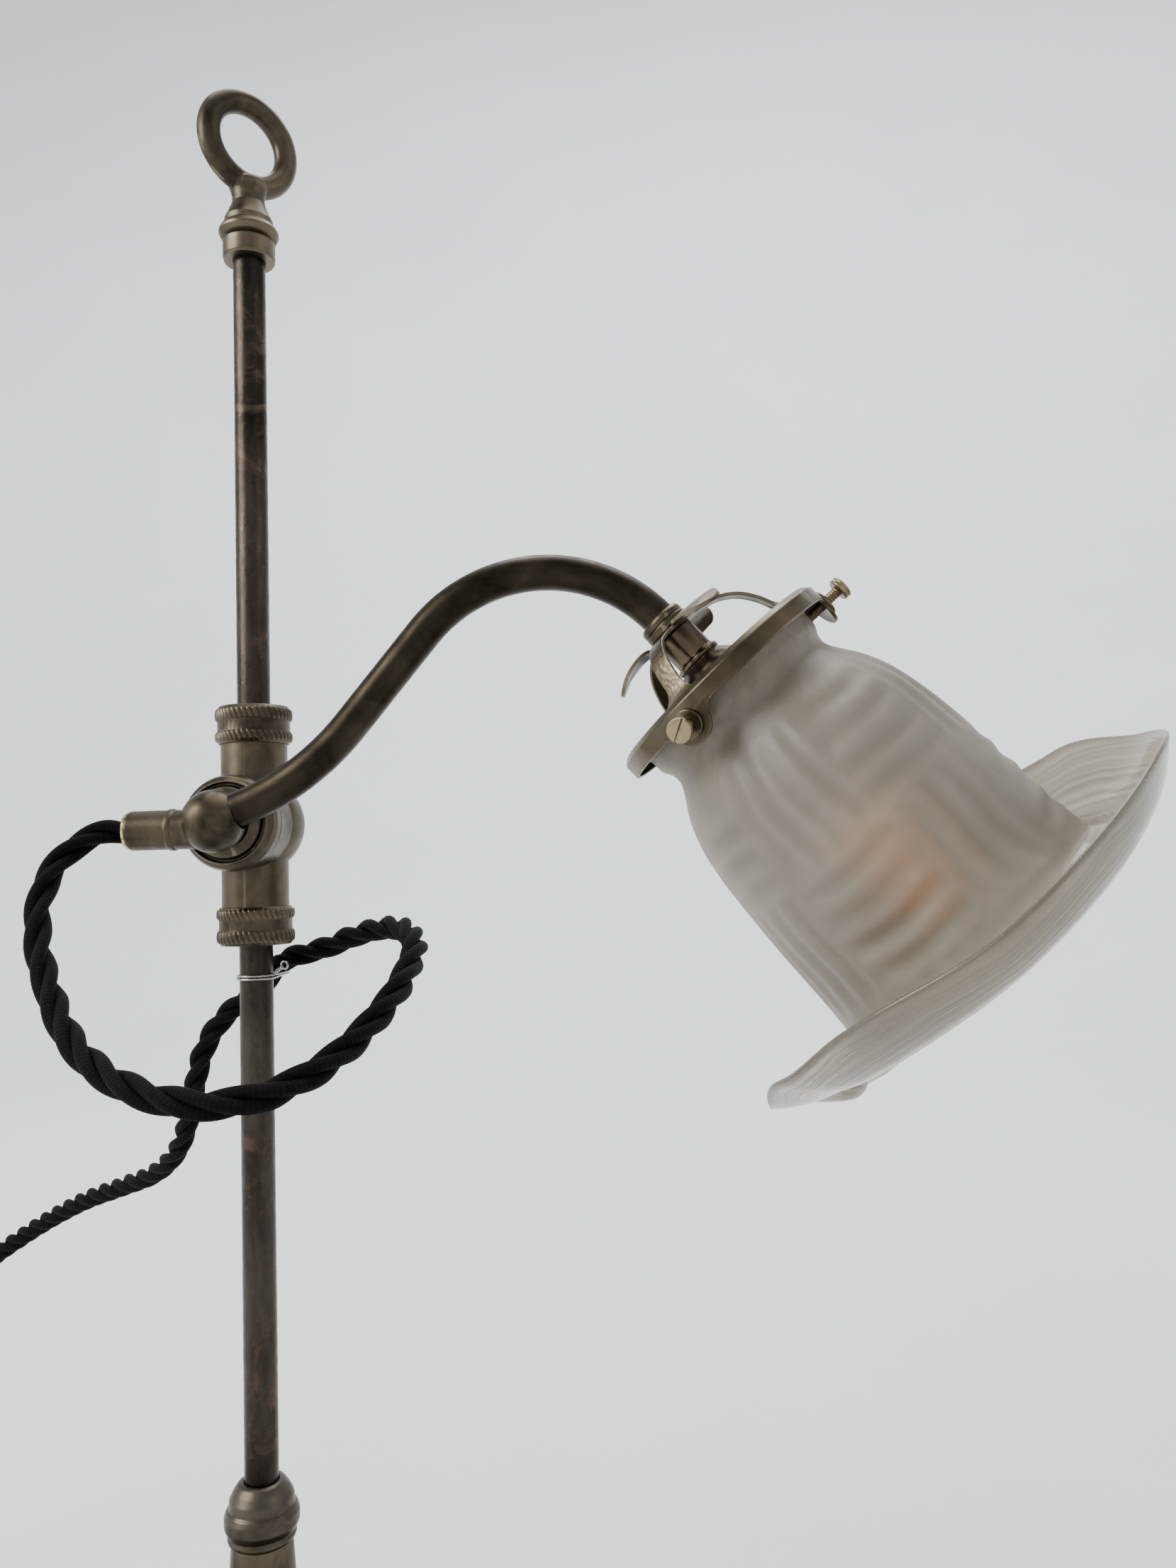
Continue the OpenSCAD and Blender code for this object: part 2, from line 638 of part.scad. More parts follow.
// the brim's edge by direction: [degrees, radius, distance below the band's middle]
tip_down = bell_l - 4.5;
edge_points = [
    [-180, 77, tip_down + 2], [-160, 66, tip_down + 20], [-135, 60, tip_down + 29],
    [-112, 69, tip_down + 23], [-90, 83, tip_down + 3], [-62, 84, tip_down - 8],
    [-38, 84, tip_down - 11], [0, 84, tip_down - 5], [38, 84, tip_down - 5],
    [90, 84, tip_down], [120, 84, tip_down - 8], [147, 84, tip_down - 11],
    [180, 77, tip_down + 2],
];
shade_steps = 48;
brim_steps = 7;

function eased(x) = (1 - cos(180 * x)) / 2;
function edge_at(a, i = 0) =
    a <= edge_points[i + 1][0] || i == len(edge_points) - 2
        ? let(p = edge_points[i], q = edge_points[i + 1], f = eased((a - p[0]) / (q[0] - p[0])))
            [p[1] + (q[1] - p[1]) * f, p[2] + (q[2] - p[2]) * f]
        : edge_at(a, i + 1);
function bend_point(p, c, q, f) = (1 - f) * (1 - f) * p + 2 * f * (1 - f) * c + f * f * q;

// outside of the glass at one direction, from the lip to the brim's edge
function shade_line(a) = let(
    foot = bell_outline[len(bell_outline) - 1],
    edge = edge_at(a),
    knee = [max(62, edge[0] - 18), max(bell_l + 13, edge[1] + 9)]
) concat(bell_outline, [for (i = [1 : brim_steps]) bend_point(foot, knee, edge, i / brim_steps)]);

// the inside follows the outside at the glass's thickness
function inward(line) = [
    for (i = [0 : len(line) - 1])
        let(d = unit(line[min(i + 1, len(line) - 1)] - line[max(i - 1, 0)]))
            line[i] + glass_t * (i == len(line) - 1 ? 0.6 : 1) * [-d.y, d.x]
];
function shade_loop(a) = let(line = shade_line(a), back = inward(line))
    concat(line, [for (i = [len(back) - 1 : -1 : 0]) back[i]]);

module glass_shade() color("#d8d6cc", 0.45) along_head() {
    loops = [for (k = [0 : shade_steps - 1]) shade_loop(-180 + 360 * k / shade_steps)];
    m = len(loops[0]);
    polyhedron(
        points = [
            for (k = [0 : shade_steps - 1]) let(a = 90 - 360 * k / shade_steps)
                for (p = loops[k]) [p[0] * cos(a), p[0] * sin(a), p[1]]
        ],
        faces = [
            for (k = [0 : shade_steps - 1]) for (i = [0 : m - 1])
                let(a = k * m + i, b = k * m + (i + 1) % m, next = (k + 1) % shade_steps,
                    c = next * m + i, d = next * m + (i + 1) % m)
                    each [[a, d, b], [a, c, d]]
        ],
        convexity = 10
    );
}

// ---------- cord, coil and plug ----------

module cord_loop() color("#1c1b1c") swept(parted(cord_loop_route, 0, part_gap), cord_r);
module cord_link() color("#1c1b1c") swept(parted(cord_link_route, part_gap, part_gap), cord_r);
module cord_tail() color("#1c1b1c") swept(parted(cord_tail_route, part_gap, 0), cord_r, [0, 1, 0]);
module plug_lead() color("#1c1b1c") swept(plug_lead_route, cord_r);

module cord_coil() color("#1c1b1c") translate([coil_at.x, coil_at.y, coil_lift])
    rotate_extrude($fn = 72) translate([coil_r - coil_w / 2, 0]) square([coil_w, coil_h]);

tie_band = 0.7;

module coil_tie() color("#2a2a2a") translate([coil_at.x, coil_at.y, coil_lift])
    rotate([0, 0, coil_tie_turn]) translate([coil_r, 0, 0]) difference() {
        translate([-coil_w / 2 - 1.6, -3, -tie_band]) cube([coil_w + 3.2, 6, coil_h + 2 * tie_band]);
        translate([-coil_w / 2 - 0.4, -4, 0]) cube([coil_w + 0.8, 8, coil_h]);
    }

module along_plug(out = 0) {
    translate([plug_at.x, plug_at.y - out, plug_r]) rotate([90, 0, 0]) children();
}

module plug_body() color("#3a2a20") along_plug() difference() {
    turned([
        [0, 14], [plug_r - 0.6, 14], [plug_r, 15], [plug_r, plug_l - 3], [plug_r - 1, plug_l - 1],
        [plug_r - 2, plug_l], [0, plug_l],
    ]);
    for (pin = plug_pin_list) translate([pin[0], pin[1], 20]) cylinder(r = pin[2], h = plug_l);
}

module plug_cover() color("#3a2a20") along_plug() turned([
    [cord_r + fit_gap, 0], [7, 0], [8, 1], [8.6, 5], [12, 8], [plug_r - 1.5, 10.5],
    [plug_r - 0.4, 12.5], [plug_r - 0.4, 14 - fit_gap], [4, 14 - fit_gap], [4, 6],
    [cord_r + fit_gap, 5],
]);

// pins as [across, up, radius, length]
plug_pin_list = [[0, 7, 2.5, 19], [-6.5, -4, 2, 16], [6.5, -4, 2, 16]];

module plug_pins() color("#b9a15c") along_plug()
    for (pin = plug_pin_list) translate([pin[0], pin[1], 21])
        cylinder(r = pin[2] - fit_gap, h = plug_l - 21 + pin[3]);

// ---------- the model ----------

foot_shell();
foot_weight();
felt_pad();
foot_washer();
foot_nut();
column();
column_collar();
rod();
finial_collar();
finial_ring();
friction_bushes();
wire_tie();
slider_sleeve();
upper_cap();
lower_cap();
pivot_housing();
friction_washer();
pivot_dome();
pivot_bolt();
arm_ball();
cord_inlet();
inlet_bush();
arm_tube();
inner_flex();
collar_nut();
threaded_nipple();
gallery();
gallery_screws();
gallery_locknuts();
lampholder_dome();
lampholder_shell();
lampholder_insulator();
contact_plungers();
bulb_cap();
bulb_glass();
bulb_filament();
glass_shade();
cord_loop();
cord_link();
cord_tail();
cord_coil();
coil_tie();
plug_lead();
plug_body();
plug_cover();
plug_pins();
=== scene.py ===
"""Looks of a student lamp: weighted foot and rod, friction slider, swan-neck arm, glass bell shade.

Z is up, the rod stands on the origin, the arm points along +X and the camera looks along +Y.
Outlines and profiles are in millimetres. The cord's routes and all that Blender gets are in metres.
"""

import math

import bmesh
import bpy
import numpy as np
from mathutils import Matrix, Vector


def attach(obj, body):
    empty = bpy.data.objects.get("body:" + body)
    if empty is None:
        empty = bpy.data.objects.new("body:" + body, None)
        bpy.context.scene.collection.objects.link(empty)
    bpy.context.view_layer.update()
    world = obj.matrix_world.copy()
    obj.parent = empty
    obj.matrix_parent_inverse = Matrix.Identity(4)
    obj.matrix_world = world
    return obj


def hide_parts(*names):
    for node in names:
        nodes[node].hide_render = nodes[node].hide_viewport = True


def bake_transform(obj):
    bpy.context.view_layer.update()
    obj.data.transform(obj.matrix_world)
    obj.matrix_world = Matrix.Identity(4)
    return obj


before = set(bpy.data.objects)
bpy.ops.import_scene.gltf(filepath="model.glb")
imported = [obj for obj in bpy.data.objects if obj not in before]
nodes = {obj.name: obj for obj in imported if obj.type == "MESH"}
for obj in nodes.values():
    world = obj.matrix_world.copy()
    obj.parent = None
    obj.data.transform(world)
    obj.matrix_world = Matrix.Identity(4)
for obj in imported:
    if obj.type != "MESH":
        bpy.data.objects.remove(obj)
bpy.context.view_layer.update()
MM = 0.001

# --- sizes, as in the CAD source ---

ROD_R = 6 * MM
CORD_R = 4.3 * MM
PIVOT_Z = 345.3 * MM
ARM_Y = -41.5 * MM
TUBE_R = 5.95 * MM
TIE_Z = 290 * MM
HEAD_SLOPE = math.radians(48)
HEAD_AXIS = Vector((math.cos(HEAD_SLOPE), 0, -math.sin(HEAD_SLOPE)))
HEAD_UP = Vector((math.sin(HEAD_SLOPE), 0, math.cos(HEAD_SLOPE)))
BAND_AT = Vector((170.908, -41.5, 385.03)) * MM
HUB_UP = 24.3 * MM
COIL_AT = Vector((-152, 5, 0)) * MM
COIL_MID_R = 45.5 * MM

WORLD_Z = Matrix.Identity(4)
PIVOT_AXIS = Matrix(((1, 0, 0, 0), (0, 0, -1, 0), (0, 1, 0, PIVOT_Z), (0, 0, 0, 1)))
HEAD = Matrix.Translation(BAND_AT) @ Matrix.Rotation(math.pi / 2 + HEAD_SLOPE, 4, "Y")


# --- mesh building ---


def add_object(name, data):
    added = bpy.data.objects.new(name, data)
    bpy.context.scene.collection.objects.link(added)
    return added


def new_piece(name, verts, faces, material, uvs=None):
    """A smooth mesh piece. uvs, if given, has one pair for each vertex."""
    mesh = bpy.data.meshes.new(name)
    mesh.from_pydata([tuple(v) for v in verts], [], faces)
    if uvs is not None:
        layer = mesh.uv_layers.new(name="along")
        corner = np.empty(len(mesh.loops), int)
        mesh.loops.foreach_get("vertex_index", corner)
        layer.data.foreach_set("uv", np.asarray(uvs, np.float32)[corner].ravel())
    work = bmesh.new()
    work.from_mesh(mesh)
    if uvs is None:
        bmesh.ops.remove_doubles(work, verts=work.verts, dist=1e-6)
    bmesh.ops.recalc_face_normals(work, faces=work.faces)
    work.to_mesh(mesh)
    work.free()
    mesh.polygons.foreach_set("use_smooth", [True] * len(mesh.polygons))
    mesh.materials.append(material)
    return add_object(name, mesh)


def stand_together(pieces, body, slot, *cad_nodes):
    """Several pieces on one body, the first of which replaces the CAD nodes."""
    for piece in pieces:
        stand_for(piece, body, slot, *cad_nodes)
        cad_nodes = ()


def stand_for(piece, body, slot, *cad_nodes):
    """The piece rides on a body and replaces CAD nodes. The slot is not used."""
    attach(piece, body)
    if cad_nodes:
        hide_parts(*cad_nodes)
    return piece


def grid_faces(rows, cols, wrap_rows=False, wrap_cols=False):
    faces = []
    for i in range(rows if wrap_rows else rows - 1):
        for k in range(cols if wrap_cols else cols - 1):
            a, b = i * cols + k, i * cols + (k + 1) % cols
            c, d = (i + 1) % rows * cols + (k + 1) % cols, (i + 1) % rows * cols + k
            faces.append((a, b, c, d))
    return faces


def rounded(outline, radius, closed=False, arc=3):
    """The outline with each corner turned into a small curve."""
    points = [np.array(p, float) for p in outline]
    out = []
    for i, p in enumerate(points):
        if not closed and i in (0, len(points) - 1):
            out.append(p)
            continue
        before, after = points[i - 1] - p, points[(i + 1) % len(points)] - p
        lb, la = np.linalg.norm(before), np.linalg.norm(after)
        turn = abs(before[0] * after[1] - before[1] * after[0]) / (lb * la)
        if turn < 0.12 and before @ after < 0:
            out.append(p)
            continue
        reach = min(radius, 0.45 * lb, 0.45 * la)
        start, end = p + before / lb * reach, p + after / la * reach
        for f in np.linspace(0, 1, arc + 1):
            out.append((1 - f) ** 2 * start + 2 * f * (1 - f) * p + f * f * end)
    return out


def turns_of(steps):
    return np.linspace(0, math.tau, steps, endpoint=False)


def spun(name, radius, heights, axis, material, closed, end=()):
    """Lines of points about the axis's Z, in millimetres. radius has a row for each step."""
    steps, a = len(radius), turns_of(len(radius))[:, None]
    rows = (radius * np.cos(a), radius * np.sin(a), np.tile(heights, (steps, 1)))
    verts = np.stack(rows, axis=2).reshape(-1, 3) * MM
    piece = new_piece(name, verts, grid_faces(steps, len(heights), True, closed) + [*end], material)
    piece.data.transform(axis)
    return piece


def lathe(name, outline, axis, material, fillet, steps=128, closed=False):
    """Turns an outline of (radius, height) points, in millimetres, about the axis's Z."""
    line = np.array(rounded(outline, fillet, closed))
    return keep_flats(
        spun(name, np.tile(line[:, 0], (steps, 1)), line[:, 1], axis, material, closed)
    )


def turned(name, body, slot, cad_nodes, outline, axis, material, *finish, closed=False):
    """A lathe that rides on a body and stands for CAD nodes. finish is its fillet and steps."""
    piece = lathe(name, outline, axis, material, *finish, closed=closed)
    return stand_for(piece, body, slot, *cad_nodes)


def keep_flats(piece):
    """Large faces keep their own normals, so that only the rounded corners shade."""
    weights = piece.modifiers.new("flats", "WEIGHTED_NORMAL")
    weights.weight = 100
    weights.keep_sharp = True
    return piece


def bevelled(piece, width, segments=2):
    bevel = piece.modifiers.new("edges", "BEVEL")
    bevel.width, bevel.segments = width, segments
    bevel.limit_method, bevel.angle_limit = "ANGLE", math.radians(35)
    return keep_flats(piece)


def unit_rows(v):
    return v / np.linalg.norm(v, axis=1)[:, None]


def run_along(p, power=1.0):
    """Sum of the steps between the points, up to each of them."""
    return np.concatenate(([0], np.cumsum(np.linalg.norm(np.diff(p, axis=0), axis=1) ** power)))


def between(t, start, end, a, b):
    return (end - t) / (end - start) * a + (t - start) / (end - start) * b


def smooth_path(points, step):
    """A smooth curve through the points, cut into equal steps, and the length run at each."""
    p = np.array(points, float)
    p = np.vstack((2 * p[0] - p[1], p, 2 * p[-1] - p[-2]))
    knots = run_along(p, 0.5)
    dense = []
    for i in range(len(p) - 3):
        k = knots[i : i + 4]
        t = np.linspace(k[1], k[2], 24, endpoint=False)[:, None]
        a = [between(t, k[j], k[j + 1], p[i + j], p[i + j + 1]) for j in range(3)]
        b = [between(t, k[j], k[j + 2], a[j], a[j + 1]) for j in range(2)]
        dense.append(between(t, k[1], k[2], *b))
    dense = np.vstack((*dense, p[-2]))
    along = run_along(dense)
    cuts = np.linspace(0, along[-1], max(2, round(along[-1] / step) + 1))
    return np.column_stack([np.interp(cuts, along, dense[:, k]) for k in range(3)]), cuts


def carried_frames(path, first=(0, 0, 1)):
    """Direction and two side directions at each point, carried along without twist."""
    t = unit_rows(np.gradient(path, axis=0))
    n = np.empty_like(t)
    side = np.array(first, float)
    for i, d in enumerate(t):
        side = side - (side @ d) * d
        side /= np.linalg.norm(side)
        n[i] = side
    return t, n, np.cross(t, n)


def ring_offsets(n, b, sides):
    """Offsets of a ring of radius 1 at each point, from its two side directions."""
    a = turns_of(sides)[None, :, None]
    return np.cos(a) * n[:, None] + np.sin(a) * b[:, None]


def tube_mesh(path, radius, sides, first=(0, 0, 1)):
    """Rings round a path, with rounded ends."""
    t, n, b = carried_frames(path, first)
    start, end = radius * t[0], radius * t[-1]
    rows = np.vstack(
        ([path[0] - 0.8 * start, path[0] - 0.5 * start], path,
         [path[-1] + 0.5 * end, path[-1] + 0.8 * end])
    )
    r = radius * np.array([0.05, 0.8, *[1.0] * len(path), 0.8, 0.05])
    n, b = (np.vstack((v[:1], v[:1], v, v[-1:], v[-1:])) for v in (n, b))
    verts = rows[:, None] + r[:, None, None] * ring_offsets(n, b, sides)
    return verts.reshape(-1, 3), grid_faces(len(rows), sides, False, True)


def braid_uvs(run, sides):
    """UVs for tube_mesh: round the tube, there and back, and along it."""
    around = np.abs(np.linspace(-1, 1, sides, endpoint=False))
    return [(k, s) for s in (*[run[0]] * 2, *run, *[run[-1]] * 2) for k in around]


def tube(name, points, radius, material, sides, step, braided=False):
    """A tube along a smooth curve. If braided, its UVs run round it and along it, in metres."""
    path, run = smooth_path(points, step)
    verts, faces = tube_mesh(path, radius, sides)
    uvs = braid_uvs(run, sides) if braided else None
    return new_piece(name, verts, faces, material, uvs)


def head_point(r, turn, down):
    """A point by its distance from the head's axis, its turn in degrees (0 is the front,
    positive goes over the top) and its distance below the middle of the gallery's band."""
    a = math.radians(turn)
    side = HEAD_UP * math.sin(a) - Vector((0, 1, 0)) * math.cos(a)
    return BAND_AT + HEAD_AXIS * down + side * r


# --- camera, at the photograph's angle ---

LENS, SENSOR = 27.03, 36
CAMERA_AT = Vector((0.1458, -0.4271, 0.3273))
YAW, PITCH, ROLL = (math.radians(a) for a in (-3, 3.9, 1.7))


def add_camera():
    ahead = Vector(
        (math.sin(YAW) * math.cos(PITCH), math.cos(YAW) * math.cos(PITCH), math.sin(PITCH))
    )
    level = Vector((math.cos(YAW), -math.sin(YAW), 0))
    over = level.cross(ahead)
    right = level * math.cos(ROLL) - over * math.sin(ROLL)
    up = over * math.cos(ROLL) + level * math.sin(ROLL)
    data = bpy.data.cameras.new("camera")
    data.lens, data.sensor_width = LENS, SENSOR
    data.clip_start, data.clip_end = 0.01, 50
    camera = add_object("camera", data)
    turn = Matrix((right, up, -ahead)).transposed().to_4x4()
    camera.matrix_world = Matrix.Translation(CAMERA_AT) @ turn
    bpy.context.scene.camera = camera


add_camera()


# --- materials ---


class Nodes:
    """A short way to write a material's node tree."""

    def __init__(self, name):
        self.material = bpy.data.materials.new(name)
        self.material.use_nodes = True
        self.tree = self.material.node_tree
        self.shader = self.tree.nodes["Principled BSDF"]
        self.place = self.add("ShaderNodeTexCoord").outputs["Object"]

    def add(self, kind, inputs=None, **settings):
        node = self.tree.nodes.new(kind)
        for key, value in settings.items():
            setattr(node, key, value)
        for key, value in (inputs or {}).items():
            self.put(node.inputs[key], value)
        return node

    def put(self, socket, value):
        if isinstance(value, bpy.types.NodeSocket):
            self.tree.links.new(value, socket)
        else:
            socket.default_value = value

    def set(self, **values):
        for key, value in values.items():
            self.put(self.shader.inputs[key.replace("_", " ")], value)
        return self

    def uvs(self):
        uv = self.add("ShaderNodeUVMap", uv_map="along").outputs[0]
        return self.add("ShaderNodeSeparateXYZ", {0: uv}).outputs[:2]

    def noise(self, scale, detail=4.0, roughness=0.55, stretch=None, distort=0.0):
        at = self.place
        if stretch:
            at = self.add("ShaderNodeMapping", {"Vector": at, "Scale": stretch}).outputs[0]
        return self.add(
            "ShaderNodeTexNoise",
            {"Vector": at, "Scale": scale, "Detail": detail, "Roughness": roughness,
             "Distortion": distort},
        ).outputs["Fac"]

    def ramp(self, fac, *stops):
        """stops are (position, colour or grey)."""
        node = self.add("ShaderNodeValToRGB", {"Fac": fac})
        elements = node.color_ramp.elements
        while len(elements) < len(stops):
            elements.new(0.5)
        for element, (at, tone) in zip(elements, stops):
            element.position = at
            element.color = (tone, tone, tone, 1) if isinstance(tone, (int, float)) else (*tone, 1)
        return node.outputs["Color"]

    def math(self, operation, a, b):
        return self.add("ShaderNodeMath", {0: a, 1: b}, operation=operation).outputs[0]

    def times(self, a, b):
        return self.math("MULTIPLY", a, b)

    def mix(self, fac, a, b):
        node = self.add("ShaderNodeMix", data_type="RGBA")
        self.put(node.inputs["Factor"], fac)
        self.put(node.inputs["A"], (*a, 1) if isinstance(a, tuple) else a)
        self.put(node.inputs["B"], (*b, 1) if isinstance(b, tuple) else b)
        return node.outputs["Result"]

    def bump(self, height, distance, strength, under=None):
        inputs = {"Height": height, "Distance": distance, "Strength": strength}
        if under is not None:
            inputs["Normal"] = under
        return self.add("ShaderNodeBump", inputs).outputs["Normal"]

    def edges(self):
        """White along worn edges."""
        sharp = self.add("ShaderNodeNewGeometry").outputs["Pointiness"]
        return self.ramp(sharp, (0.51, 0.0), (0.58, 1.0))


def aged_metal(name, dark, mid, worn, rough=(0.3, 0.52), grain=1.0, hammered=0.0):
    """Old brass or bronze: cloudy patina, specks, wiped and worn edges, fine scratches."""
    m = Nodes(name)
    clouds = m.ramp(m.noise(55, 5, 0.6, distort=0.6), (0.35, dark), (0.62, mid))
    wiped = m.ramp(m.noise(21, 3, 0.5), (0.52, 0.0), (0.74, 0.55))
    tone = m.mix(wiped, clouds, worn)
    specks = m.ramp(m.noise(620, 3, 0.7), (0.27, 0.55), (0.36, 0.0))
    tone = m.mix(specks, tone, tuple(0.35 * c for c in dark))
    tone = m.mix(m.times(m.edges(), 0.6), tone, worn)
    spread = m.ramp(m.noise(140, 6, 0.65), (0.3, rough[0]), (0.72, rough[1]))
    fine = m.noise(1900, 2, 0.6)
    normal = m.bump(fine, 0.05 * MM * grain, 0.35)
    scratches = m.ramp(m.noise(260, 2, 0.5, stretch=(1, 1, 0.06)), (0.5, 0.5), (0.53, 1.0))
    normal = m.bump(scratches, 0.03 * MM * grain, 0.25, normal)
    if hammered:
        dents = m.add(
            "ShaderNodeTexVoronoi", {"Vector": m.place, "Scale": 780.0}, feature="SMOOTH_F1"
        ).outputs["Distance"]
        normal = m.bump(dents, hammered, 0.8, normal)
    m.set(Base_Color=tone, Metallic=1.0, Roughness=spread, Normal=normal)
    return m.material


def pitted_steel():
    """The rod: dark drawn steel with lengthwise marks, pits and patches of rust."""
    m = Nodes("dark_steel")
    length = m.noise(60, 4, 0.6, stretch=(1.0, 1.0, 0.22))
    tone = m.ramp(length, (0.34, (0.012, 0.01, 0.008)), (0.66, (0.062, 0.052, 0.043)))
    patch = m.ramp(m.noise(26, 6, 0.7, distort=1.2), (0.56, 0.0), (0.63, 1.0))
    spots = m.ramp(m.noise(300, 4, 0.75), (0.6, 0.0), (0.68, 1.0))
    rusty = m.math("MAXIMUM", m.times(patch, 0.75), m.times(spots, 0.6))
    tone = m.mix(rusty, tone, (0.05, 0.024, 0.01))
    m.set(Base_Color=tone, Normal=m.bump(m.noise(520, 5, 0.75), 0.22 * MM, 0.5))
    m.set(Metallic=m.ramp(rusty, (0.0, 1.0), (1.0, 0.35)))
    m.set(Roughness=m.ramp(m.noise(200, 5, 0.7), (0.3, 0.2), (0.75, 0.5)))
    return m.material


def braid(name, tone, sheen, around, pitch):
    """Braided cotton over a round core. The mesh's UVs run round it and along it, in metres."""
    m = Nodes(name)
    u, v = m.uvs()
    turn = m.times(u, math.tau * around)
    run = m.times(v, math.tau / pitch)
    left = m.math("SINE", m.math("ADD", turn, run), 0)
    right = m.math("SINE", m.math("SUBTRACT", turn, run), 0)
    over = m.times(left, right)
    threads = m.math("ADD", m.times(m.math("MAXIMUM", left, right), 0.6), over)
    fuzz = m.noise(2600, 3, 0.7)
    # painted shade: the braid is darker between its threads; dust is mixed in below
    shade = m.ramp(threads, (0.1, tuple(0.45 * c for c in tone)), (0.95, tone))
    dusty = m.ramp(m.noise(70, 4, 0.6), (0.42, 0.0), (0.75, 0.4))
    shade = m.mix(dusty, shade, tuple(1.8 * c for c in tone))
    normal = m.bump(threads, 0.16 * MM, 0.75)
    normal = m.bump(fuzz, 0.06 * MM, 0.6, normal)
    m.set(Base_Color=shade, Roughness=m.ramp(threads, (0.0, 0.8), (1.0, 0.52)), Normal=normal)
    m.set(Sheen_Weight=sheen, Sheen_Roughness=0.4, Specular_IOR_Level=0.1)
    return m.material


def moulded(name, dark, mid, rough, coat=0.0):
    """Moulded or glazed matter: cloudy colour, fine orange peel and rubbed patches."""
    m = Nodes(name)
    tone = m.ramp(m.noise(90, 5, 0.6, distort=0.8), (0.33, dark), (0.66, mid))
    spread = m.ramp(m.noise(260, 5, 0.7), (0.3, rough[0]), (0.7, rough[1]))
    m.set(Base_Color=tone, Roughness=spread, Normal=m.bump(m.noise(900, 3), 0.05 * MM, 0.5))
    m.set(Coat_Weight=coat)
    return m.material


def fibrous(name, dark, mid, scale=1500.0, depth=0.4 * MM, sheen=0.4):
    """Felt, leather or fibre: matted fine hair over a mottled colour."""
    m = Nodes(name)
    hair = m.noise(scale, 6, 0.8, distort=1.5)
    tone = m.mix(m.ramp(m.noise(110, 4), (0.35, 0.0), (0.7, 1.0)), dark, mid)
    tone = m.mix(m.ramp(hair, (0.35, 0.5), (0.6, 0.0)), tone, tuple(0.5 * c for c in dark))
    m.set(Base_Color=tone, Roughness=m.ramp(hair, (0.3, 0.95), (0.7, 0.75)))
    m.set(Normal=m.bump(hair, depth, 0.8), Sheen_Weight=sheen)
    return m.material


def shade_glass_material():
    """Satin glass with a soft relief, and a clear brim.

    U of the UVs is the depth of the relief, from 0 to 1, and rises across the brim from 1.
    V is 1 on clear glass, 0 on satin glass and falls to -1 at the neck.
    """
    m = Nodes("shade_glass")
    groove, clear = m.uvs()
    toward_neck = m.times(clear, -1.0)
    clouds = m.noise(34, 5, 0.6, distort=0.7)
    satin = m.ramp(clouds, (0.3, (0.31, 0.275, 0.22)), (0.7, (0.43, 0.39, 0.32)))
    dirt = m.ramp(m.noise(170, 6, 0.75, stretch=(1, 1, 0.35)), (0.66, 0.0), (0.76, 0.5))
    satin = m.mix(dirt, satin, (0.2, 0.175, 0.135))
    # painted shade: the satin glass is darker in the relief's grooves
    satin = m.mix(m.times(groove, 0.62), satin, (0.24, 0.215, 0.165))
    # the satin glass is darker in streaky patches towards the neck
    neck_patches = m.noise(75, 5, 0.7, stretch=(1.0, 1.0, 0.4), distort=1.4)
    neck_patches = m.times(m.ramp(neck_patches, (0.34, 0.35), (0.62, 1.0)), toward_neck)
    satin = m.mix(m.ramp(neck_patches, (0.0, 0.0), (0.75, 0.9)), satin, (0.2, 0.165, 0.11))
    wander = m.times(m.noise(14, 3, 0.6), 2.2)
    lines = m.add(
        "ShaderNodeTexNoise",
        {"W": m.math("ADD", m.times(groove, 1.1), wander), "Scale": 2.0, "Detail": 5.0},
        noise_dimensions="1D",
    ).outputs["Fac"]
    brim = m.ramp(lines, (0.36, (0.27, 0.235, 0.175)), (0.6, (0.43, 0.385, 0.3)))
    m.set(Base_Color=m.mix(clear, satin, brim))
    grain = m.ramp(m.noise(900, 4, 0.7), (0.3, 0.4), (0.7, 0.52))
    m.set(Roughness=m.mix(clear, grain, m.ramp(m.noise(300, 4), (0.4, 0.05), (0.8, 0.16))))
    streaks = m.noise(120, 3, 0.5, stretch=(1.0, 0.25, 1.0), distort=1.0)
    frosting = m.times(m.noise(2200, 2, 0.6), m.ramp(clear, (0.0, 1.0), (0.5, 0.0)))
    frost = m.bump(frosting, 0.03 * MM, 0.4)
    drawn = m.bump(m.times(lines, clear), 0.45 * MM, 0.4, frost)
    m.set(Normal=m.bump(streaks, 0.35 * MM, 0.25, drawn))
    m.set(Transmission_Weight=m.ramp(clear, (0.0, 0.55), (1.0, 0.8)), IOR=1.5)
    return m.material


def lamp_glass_material():
    """The bulb's thin amber glass, with faint swirls and dust."""
    m = Nodes("bulb_glass")
    swirl = m.noise(60, 4, 0.6, distort=1.5)
    m.set(Base_Color=m.ramp(swirl, (0.3, (1.0, 0.62, 0.2)), (0.7, (1.0, 0.76, 0.34))))
    m.set(Roughness=m.ramp(m.noise(400, 4, 0.7), (0.35, 0.04), (0.8, 0.2)))
    m.set(Normal=m.bump(swirl, 0.3 * MM, 0.2), Transmission_Weight=1.0, IOR=1.45)
    return m.material


def glowing_wire():
    m = Nodes("filament")
    heat = m.noise(700, 3, 0.6)
    m.set(Base_Color=m.ramp(heat, (0.3, (0.5, 0.3, 0.12)), (0.7, (0.8, 0.55, 0.3))), Metallic=0.8)
    m.set(Roughness=m.ramp(heat, (0.3, 0.3), (0.7, 0.5)))
    m.set(Emission_Color=m.ramp(heat, (0.3, (1.0, 0.5, 0.13)), (0.7, (1.0, 0.66, 0.24))))
    m.set(Emission_Strength=4.5)
    return m.material


